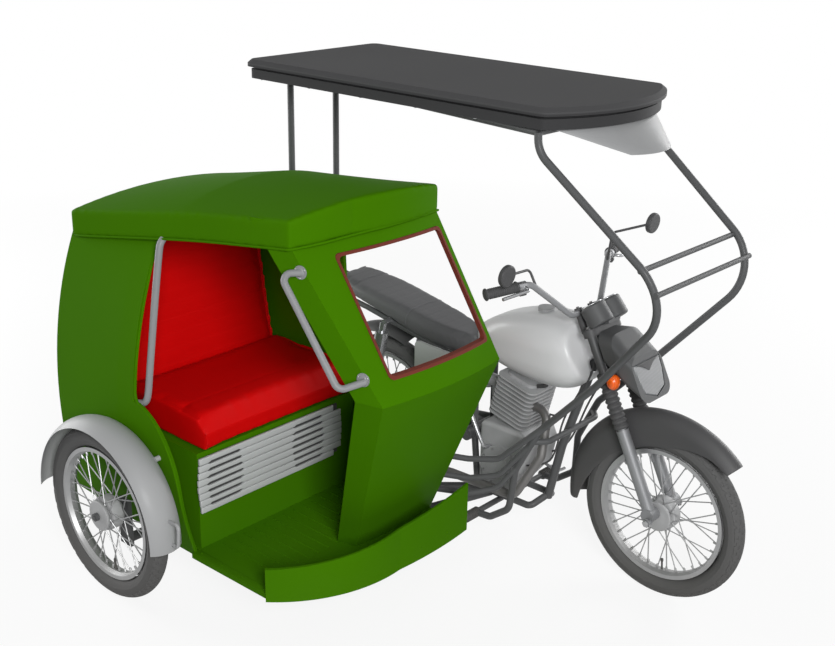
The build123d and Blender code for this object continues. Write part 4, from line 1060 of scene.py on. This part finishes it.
foot_screws = []
for name, place in FEET.items():
    foot = primitive("cylinder", name, vertices=32, radius=FLANGE, depth=0.004)
    inset(foot, TOP, (FLANGE * 0.30, 0), (FLANGE * 0.12, 0.004))
    turned = facing(place, JAMB_OUTWARD)
    finished(repeated(bevelled(foot, 0.0008, 1), [turned]), "rail_paint")
    for turn in (0.5, 2.6, 4.7):
        spot = Vector((FLANGE * 0.80 * cos(turn), FLANGE * 0.80 * sin(turn), 0.003))
        foot_screws.append((turned @ spot, JAMB_OUTWARD))
screw_heads("rail_foot_screws", 0.0032, 0.0024, "spoke_steel", foot_screws)

# %% [markdown]
# ## Rivets and rear reflectors
# Domed rivets fix the skirt to the floor's edge and the rear wall to its sill. Along the skirt's bow each
# rivet looks its own way, so those come from a short table, and the straight row behind comes from a loop.
# Two round reflectors stand low on the rear wall: a red disc in a narrow rim.

# %% Reflectors
reflector = primitive("cylinder", "rear_reflectors", vertices=48, radius=0.030, depth=0.010)
inset(reflector, TOP, (0.0035, 0), (0.0010, -0.0015), (0.0120, 0.0015))
reflector_places = [facing(at(-0.538, y, 0.330), (-1, 0, 0.06)) for y in (-0.490, -1.130)]
finished(repeated(bevelled(reflector, 0.0008, 1), reflector_places), "red_lens")

# %% Rivets
SKIRT_RIVETS = (  # ahead, left, and which way the skirt looks there
    (0.628, -1.124, 0.60, -0.80), (0.688, -1.030, 0.80, -0.60), (0.722, -0.930, 0.92, -0.38),
    (0.741, -0.800, 0.99, -0.15), (0.748, -0.660, 1, 0), (0.747, -0.520, 1, 0.03))
rivets = [(at(x, y, 0.232), (out_x, out_y, 0)) for x, y, out_x, out_y in SKIRT_RIVETS]
rivets += [(at(-0.5405, -0.440 - 0.120 * number, 0.240), (-1, 0, 0)) for number in range(7)]
screw_heads("panel_rivets", 0.0060, 0.0030, "green_paint", rivets)

# %% [markdown]
# ## The cockpit
# The instruments, mirrors and grips turn with the fork, so each piece here rides on the steering: one that
# rode on the frame would be left behind when the fork turns. Places are taken along the leaning steering
# axis, as the fork itself is laid out.

# %% Places on the steering
RAKE = radians(26.5)
YOKE_OFFSET = 0.038
UPPER_YOKE = 0.899
SIDES = (1, -1)
steer_up = Vector((-sin(RAKE), 0, cos(RAKE)))
steer_ahead = Vector((cos(RAKE), 0, sin(RAKE)))
steer_foot = at(WHEELBASE, 0, WHEEL_RADIUS) - steer_ahead * YOKE_OFFSET


def steer(height, ahead_of_axis=0.0, left=0.0):
    """A point at a height on the steering axis, then ahead and left of it."""
    along = (height - steer_foot.z) / steer_up.z
    return steer_foot + steer_up * along + steer_ahead * ahead_of_axis + Vector((0, left, 0))


print("the fork's axle:", steer_foot + steer_ahead * YOKE_OFFSET)

# %% [markdown]
# Each instrument has a bright rim, a dark dial a little below it, a ring of white ticks and a red needle. A
# tick is turned about the dial's middle and then pushed out to its ring, which is two placements multiplied.

# %% Rims and dials
DIAL_RADIUS = 0.0355
pod_lean = (steer_up * 0.97 - steer_ahead * 0.25).normalized()


def on_pods(lift):
    """Placements on the tops of the two instrument pods."""
    bases = [steer(UPPER_YOKE, 0.080, side * 0.044) + steer_up * 0.017 for side in SIDES]
    return [facing(base + pod_lean * (0.074 + lift), pod_lean) for base in bases]


bezel = primitive("torus", "gauge_bezels", major_radius=DIAL_RADIUS + 0.0008, minor_radius=0.0026,
                  major_segments=64, minor_segments=10)
bpy.ops.transform.resize(value=(1, 1, 1.3))
finished(repeated(bezel, on_pods(0.0005)), "chrome", "steering")
dial = primitive("cylinder", "gauge_dials", vertices=64, radius=DIAL_RADIUS, depth=0.0012)
inset(dial, TOP, (0.0030, -0.0004))
finished(repeated(dial, on_pods(0.0004)), "black_plastic", "steering")

# %% Ticks and needles
TICKS, TICK_STEP, TICK_RING = 19, 15, 0.0285
NEEDLE_TURN = Matrix.Rotation(radians(128), 4, "Z")

tick = bevelled(block("gauge_ticks", (0.0010, 0.0050, 0.0006)), 0.0002, 1)
tick_turns = [Matrix.Rotation(radians(-135 + TICK_STEP * number), 4, "Z") for number in range(TICKS)]
to_ring = Matrix.Translation((0, TICK_RING, 0))
tick_places = [pod @ turn @ to_ring for pod in on_pods(0.0008) for turn in tick_turns]
finished(repeated(tick, tick_places), "white_paint", "steering")
needle = primitive("cone", "gauge_needles", vertices=8, radius1=0.0014, radius2=0.0003, depth=0.030,
                   location=(0, 0.011, 0), rotation=(-pi / 2, 0, 0))
pick(needle, toward(0, -1, 0))
pulled(0, -0.004, 0)
bpy.ops.object.mode_set(mode="OBJECT")
finished(repeated(needle, [pod @ NEEDLE_TURN for pod in on_pods(0.0016)]), "red_lens", "steering")

# %% [markdown]
# ## Mirrors, grips and switches
# The mirrors' glass looks rearward from its round shells. The grips are rubber with a flange at both ends,
# and thin rings along the bar read as their moulded ribs for few faces. A small switch housing is clamped
# inside each grip.

# %% Mirror glass
MIRRORS = ((0.926, 0.375, 1.207), (0.827, -0.350, 1.150))
rearward = Vector((-1, 0, 0.1)).normalized()
glass = primitive("cylinder", "mirror_glass", vertices=48, radius=0.0305, depth=0.0016)
inset(glass, TOP, (0.0012, 0.0004))
glass_places = [facing(at(*place) + rearward * 0.0102, rearward) for place in MIRRORS]
finished(repeated(glass, glass_places), "mirror_silver", "steering")

# %% Ribs and flanges of the grips
RIBS_PER_GRIP, GRIP_RIB_PITCH = 15, 0.0068
bar_clamp = steer(UPPER_YOKE + 0.068, -0.004)


def bar_end(side):
    """The tip of one end of the bar, and the direction that points out through it."""
    inner = Vector((bar_clamp.x - 0.073, bar_clamp.y + side * 0.232, 1.097))
    tip = Vector((bar_clamp.x - 0.144, bar_clamp.y + side * 0.384, 1.079))
    return tip, (tip - inner).normalized()


def along_grips(distances):
    """Placements at distances in from the tips of both ends of the bar."""
    return [facing(tip - outward * distance, outward) for tip, outward in map(bar_end, SIDES)
            for distance in distances]


grip_rib = primitive("torus", "grip_ribs", major_radius=0.0170, minor_radius=0.0015, major_segments=32,
                     minor_segments=8)
bpy.ops.transform.resize(value=(1, 1, 1.6))
rib_distances = [0.014 + GRIP_RIB_PITCH * number for number in range(RIBS_PER_GRIP)]
finished(repeated(grip_rib, along_grips(rib_distances)), "black_rubber", "steering")
flange = primitive("torus", "grip_flanges", major_radius=0.0185, minor_radius=0.0032, major_segments=32,
                   minor_segments=10)
finished(repeated(flange, along_grips((0.001, 0.114))), "black_rubber", "steering")

# %% Switch housings
pod = inset(block("switch_pods", (0.026, 0.022, 0.027)), toward(-1, 0, 0), (0.004, 0.002), (0.003, 0.003))
pod_places = [Matrix.Translation((0, 0, -0.020)) @ place for place in along_grips((0.135,))]
finished(repeated(bevelled(pod, 0.003, 3), pod_places), "black_plastic", "steering")

# %% [markdown]
# Bright bolts close the fork: a cap on each leg, a nut on the stem, a bolt on each bar clamp, and a nut at
# each end of the axle. All but the axle's look along the steering axis.

# %% Bolts of the yokes and the front axle
yoke_top = steer(UPPER_YOKE) + steer_up * 0.013
leg_tops = [steer(UPPER_YOKE, YOKE_OFFSET, side * 0.070) + steer_up * 0.0170 for side in SIDES]
clamp_tops = [bar_clamp + Vector((0, side * 0.040, 0)) + steer_up * 0.0160 for side in SIDES]
axle_ends = [(at(WHEELBASE, side * 0.105, WHEEL_RADIUS), (0, side, 0)) for side in SIDES]
hex_bolts("fork_cap_bolts", 0.0105, 0.006, "chrome", [(place, steer_up) for place in leg_tops], "steering")
hex_bolts("stem_nut", 0.0140, 0.009, "chrome", [(yoke_top, steer_up)], "steering")
hex_bolts("bar_clamp_bolts", 0.0060, 0.005, "chrome", [(place, steer_up) for place in clamp_tops], "steering")
hex_bolts("front_axle_nuts", 0.0120, 0.008, "chrome", axle_ends, "steering")

# %% [markdown]
# ## The engine's fittings
# The solid engine has its case, fins and round cover. What makes it read as an engine is bolted on: a ring of
# cover bolts, a plug with its cap, and a carburettor, which is a barrel with a float bowl below it.

# %% Cover
COVER = Vector((0.650, -0.1222, 0.302))
COVER_BOLTS, BOLT_RING = 8, 0.074
TO_RIGHT = (0, -1, 0)

bolt_turns = [2 * pi * (number + 0.5) / COVER_BOLTS for number in range(COVER_BOLTS)]
bolt_spots = [COVER + Vector((BOLT_RING * cos(turn), 0, BOLT_RING * sin(turn))) for turn in bolt_turns]
hex_bolts("cover_bolts", 0.0052, 0.0050, "spoke_steel", [(at(*spot), TO_RIGHT) for spot in bolt_spots])
boss = primitive("cylinder", "cover_boss", vertices=48, radius=0.052, depth=0.006)
inset(boss, TOP, (0.010, -0.003), (0.014, 0.004))
finished(repeated(bevelled(boss, 0.0012), [facing(at(*COVER), TO_RIGHT)]), "cast_alloy")

# %% Plug and carburettor
plug = primitive("cylinder", "plug_cap", vertices=20, radius=0.0085, depth=0.042)
pick(plug, TOP)
bpy.ops.mesh.inset(thickness=0.002, depth=0.006)
pulled(0, 0, 0.008)
bpy.ops.object.mode_set(mode="OBJECT")
plug_place = facing(at(0.762, -0.030, 0.640), (0.80, -0.25, 0.35))
finished(repeated(bevelled(plug, 0.0012), [plug_place]), "black_rubber")

barrel = primitive("cylinder", "carburettor", vertices=32, radius=0.024, depth=0.070,
                   location=at(0.542, 0, 0.585), rotation=(0, pi / 2, 0))
inset(barrel, ends(0), (0.006, 0.006))
bowl = primitive("cylinder", "bowl", vertices=32, radius=0.021, depth=0.050, location=at(0.542, 0, 0.552))
inset(bowl, FOOT, (0.005, 0.005))
finished(bevelled(joined([barrel, bowl]), 0.002), "cast_alloy")

# %% [markdown]
# ## Foot controls and chain case
# A bent steel lever starts the engine on the right side, and another changes gear on the left: both are rods
# along a line of bends. The foot pegs wear ribbed rubber. The chain case is a drum whose front half is drawn
# forward and narrowed, because its two runs of chain close in on a smaller wheel in front.

# %% Levers
KICK_LINE = ((0.600, -0.108, 0.372), (0.600, -0.140, 0.374), (0.585, -0.146, 0.400), (0.520, -0.146, 0.520),
             (0.512, -0.150, 0.540), (0.512, -0.190, 0.541))
GEAR_LINE = ((0.600, 0.098, 0.262), (0.600, 0.122, 0.262), (0.620, 0.128, 0.258), (0.740, 0.128, 0.232),
             (0.752, 0.132, 0.231), (0.754, 0.168, 0.231))
finished(route("kick_lever", KICK_LINE, 0.0075), "chrome")
finished(route("gear_lever", GEAR_LINE, 0.0060), "chrome")

# %% Foot pegs
PEG_X, PEG_HEIGHT = 0.625, 0.1412
PEG_RIBS, PEG_RIB_PITCH = 8, 0.0095


def on_pegs(distances):
    """Placements at distances out along both foot pegs."""
    return [facing(at(PEG_X, side * distance, PEG_HEIGHT), (0, side, 0))
            for side in SIDES for distance in distances]


peg = primitive("cylinder", "foot_peg_rubbers", vertices=24, radius=0.0175, depth=0.078)
inset(peg, ends(2), (0.003, 0.002))
finished(repeated(bevelled(peg, 0.001, 1), on_pegs((0.238,))), "black_rubber")
peg_rib = primitive("torus", "foot_peg_ribs", major_radius=0.0178, minor_radius=0.0018, major_segments=28,
                    minor_segments=8)
peg_rib_distances = [0.204 + PEG_RIB_PITCH * number for number in range(PEG_RIBS)]
finished(repeated(peg_rib, on_pegs(peg_rib_distances)), "black_rubber")

# %% Chain case
CASE_FORWARD, CASE_FRONT_HEIGHT, CASE_NARROWING = 0.400, 0.330, 0.55

case = primitive("cylinder", "chain_case", vertices=48, radius=0.078, depth=0.026,
                 location=at(0, 0.062, WHEEL_RADIUS), rotation=(pi / 2, 0, 0))
for vertex in case.data.vertices:
    forward = vertex.co.x - ground_under_axle.x
    if forward > 0.001:
        vertex.co.x = ground_under_axle.x + CASE_FORWARD + forward * CASE_NARROWING
        vertex.co.z = CASE_FRONT_HEIGHT + (vertex.co.z - WHEEL_RADIUS) * CASE_NARROWING
inset(case, toward(0, 1, 0), (0.010, 0.003), (0.012, -0.003))
finished(bevelled(case, 0.004, 3), "black_paint")

# %% [markdown]
# ## The canopy's fixings and the tail lamp's frame
# Clamps tie the canopy's roof to its rear posts, and screws go up through its rim in pairs. They are too
# small for the solid model, but without them the roof seems to float. The tail lamp sits in a rubber frame on
# its bracket.

# %% Clamps, screws and frame
clamp = block("canopy_clamps", (0.070, 0.034, 0.024))
pick(clamp, ends(0))
bpy.ops.mesh.inset(thickness=0.005, depth=0)
pulled(0, 0, 0.004)
bpy.ops.object.mode_set(mode="OBJECT")
clamp_places = [Matrix.Translation(at(-0.425, side * 0.129, 1.6330)) for side in SIDES]
finished(repeated(bevelled(clamp, 0.003), clamp_places), "black_paint")
rim_spots = [at(-0.380 + 0.260 * number, side * 0.336, 1.6446) for number in range(5) for side in SIDES]
screw_heads("canopy_screws", 0.0055, 0.0030, "spoke_steel", [(spot, (0, 0, -1)) for spot in rim_spots])
tail_frame = block("tail_lamp_frame", (0.012, 0.126, 0.066), at(-0.3520, 0, 0.560))
inset(tail_frame, toward(-1, 0, 0), (0.0060, -0.002))
finished(bevelled(tail_frame, 0.002), "black_rubber")

# %% [markdown]
# ## The front mudguard
# A deep pressed mudguard has a crowned top and side walls that come down to the rim behind the fork and fade
# away toward the front tip. A grid is bent to that arch by moving its points: columns run across, rows run
# round the wheel.

# %% Lines of the mudguard
GUARD_FRONT, GUARD_REAR = 45, 189
GUARD_RADIUS, GUARD_CROWN, GUARD_HALF = 0.383, 0.034, 0.0430
GUARD_ROWS, WALL_COLUMNS, CROWN_COLUMNS = 48, 3, 8
GUARD_COLUMNS = 2 * WALL_COLUMNS + CROWN_COLUMNS
WALL_FEET = (  # an angle round the wheel, and how near to the axle the side wall comes there
    (45, 0.345), (58, 0.330), (75, 0.292), (90, 0.262), (110, 0.254), (130, 0.256), (150, 0.266),
    (170, 0.292), (189, 0.330))
front_axle = at(WHEELBASE, 0, WHEEL_RADIUS)


def wall_foot(angle):
    """The radius of the side wall's lower edge, at an angle round the wheel."""
    for (a0, r0), (a1, r1) in zip(WALL_FEET, WALL_FEET[1:]):
        if angle <= a1:
            return r0 + (r1 - r0) * (angle - a0) / (a1 - a0)
    return WALL_FEET[-1][1]


def guard_point(column, row):
    """Where a point of the grid goes."""
    angle = GUARD_FRONT + (GUARD_REAR - GUARD_FRONT) * row / GUARD_ROWS
    steps = min(column, GUARD_COLUMNS - column)
    if steps < WALL_COLUMNS:
        left = GUARD_HALF if column < WALL_COLUMNS else -GUARD_HALF
        shoulder = GUARD_RADIUS - GUARD_CROWN
        radius = wall_foot(angle) + (shoulder - wall_foot(angle)) * steps / WALL_COLUMNS
    else:
        left = GUARD_HALF * (1 - 2 * (column - WALL_COLUMNS) / CROWN_COLUMNS)
        radius = GUARD_RADIUS - GUARD_CROWN * abs(left / GUARD_HALF) ** 2.4
    return front_axle + Vector((radius * cos(radians(angle)), left, radius * sin(radians(angle))))


# %% Mudguard
guard = primitive("grid", "front_mudguard_pressed", size=1, x_subdivisions=GUARD_COLUMNS,
                  y_subdivisions=GUARD_ROWS)
for vertex in guard.data.vertices:
    column, row = (vertex.co.x + 0.5) * GUARD_COLUMNS, (vertex.co.y + 0.5) * GUARD_ROWS
    vertex.co = guard_point(round(column), round(row))
pick(guard, lambda centre, normal: True)
bpy.ops.mesh.normals_make_consistent(inside=False)
bpy.ops.object.mode_set(mode="OBJECT")
if sum(face.normal.dot(face.center - front_axle) for face in guard.data.polygons) < 0:
    guard.data.flip_normals()
modified(guard, "SOLIDIFY", thickness=0.0024, offset=-1)
modified(guard, "SUBSURF", levels=1, render_levels=1)
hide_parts("front_mudguard")
finished(guard, "black_plastic", "steering", sharp=50)

# %% [markdown]
# A flat lug on the inner side of each fork leg takes the mudguard's side, so that the guard does not float
# between the legs.

# %% Lugs that hold the mudguard to the fork
lug = inset(block("mudguard_lugs", (0.022, 0.0085, 0.046)), ends(2), (0.002, 0.002))
lug_spots = [front_axle + Vector((0, side * 0.0465, 0)) + steer_up * 0.196 for side in SIDES]
lug_places = [facing(spot, steer_up) for spot in lug_spots]
finished(repeated(bevelled(lug, 0.002), lug_places), "fork_alloy", "steering")

# %% [markdown]
# ## Pressed roof and tank
# A pressing's edges are rolled over a radius instead of meeting at a corner. A copy of the solid is remeshed
# into small even squares, and smoothing then rounds its edges alone, because a flat place stays flat. The
# tank gets more rounds than the roof, for it has no straight edge at all.

# %% Rolled roof edges
cap = remeshed(copied("cab_roof", "cab_roof_pressed"), 0.0065, 14)
for vertex in cap.data.vertices:
    vertex.co = ground_under_axle + lipped(vertex.co - ground_under_axle)
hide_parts("cab_roof")
finished(cap, "green_paint", sharp=60)

# %% The tank's smooth skin
tank = remeshed(copied("fuel_tank", "fuel_tank_pressed"), 0.0055, 30)
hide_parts("fuel_tank")
finished(tank, "silver_paint", sharp=60)

# %% [markdown]
# ## Cables and the painted shadow under the lamp's brow
# Control cables leave the head and run down beside the front tube. They are tied at both ends, so they are
# bent rods here. A dark wedge under the nacelle's brow is painted shadow: it stands for the shade of the deep
# pocket above the lens.

# %% Cables along the down tube
CABLE_RADIUS = 0.0036
CABLE_LINES = (
    ((0.985, -0.030, 0.800), (0.985, -0.052, 0.740), (0.930, -0.058, 0.640), (0.870, -0.050, 0.560),
     (0.800, -0.044, 0.545), (0.742, -0.038, 0.560)),
    ((0.990, 0.030, 0.800), (0.984, 0.056, 0.730), (0.912, 0.060, 0.600), (0.872, 0.052, 0.470),
     (0.820, 0.060, 0.380), (0.760, 0.070, 0.340)),
    ((0.982, -0.014, 0.790), (0.960, -0.066, 0.700), (0.890, -0.072, 0.560), (0.868, -0.060, 0.430),
     (0.830, -0.062, 0.350), (0.745, -0.080, 0.330)))
finished(joined([route("control_cables", line, CABLE_RADIUS) for line in CABLE_LINES]), "black_rubber")

# %% Painted shadow under the lamp's brow
LENS_AHEAD = 0.172
WEDGE_TOP, WEDGE_DEPTH = 0.5335, 0.034


def wedge_point(sideways, down):
    """A point of the wedge: from -1 to 1 across it, and from 0 to 1 down it."""
    width = 0.070 - 0.040 * down
    depth = WEDGE_DEPTH * (1 - abs(sideways) * 0.55)
    lift = 0.0008 + 0.0014 * (1 - down)
    along = steer_up * (WEDGE_TOP - depth * down)
    return steer_foot + steer_ahead * (LENS_AHEAD + lift) + along + Vector((0, -sideways * width, 0))


wedge = primitive("grid", "headlamp_brow_shadow", x_subdivisions=6, y_subdivisions=2, size=1)
for vertex in wedge.data.vertices:
    vertex.co = wedge_point(vertex.co.x * 2, 0.5 - vertex.co.y)
modified(wedge, "SOLIDIFY", thickness=0.0030, offset=0)
# The wedge wears black as painted shadow.
finished(bevelled(wedge, 0.0006, 1), "black_plastic", "steering")
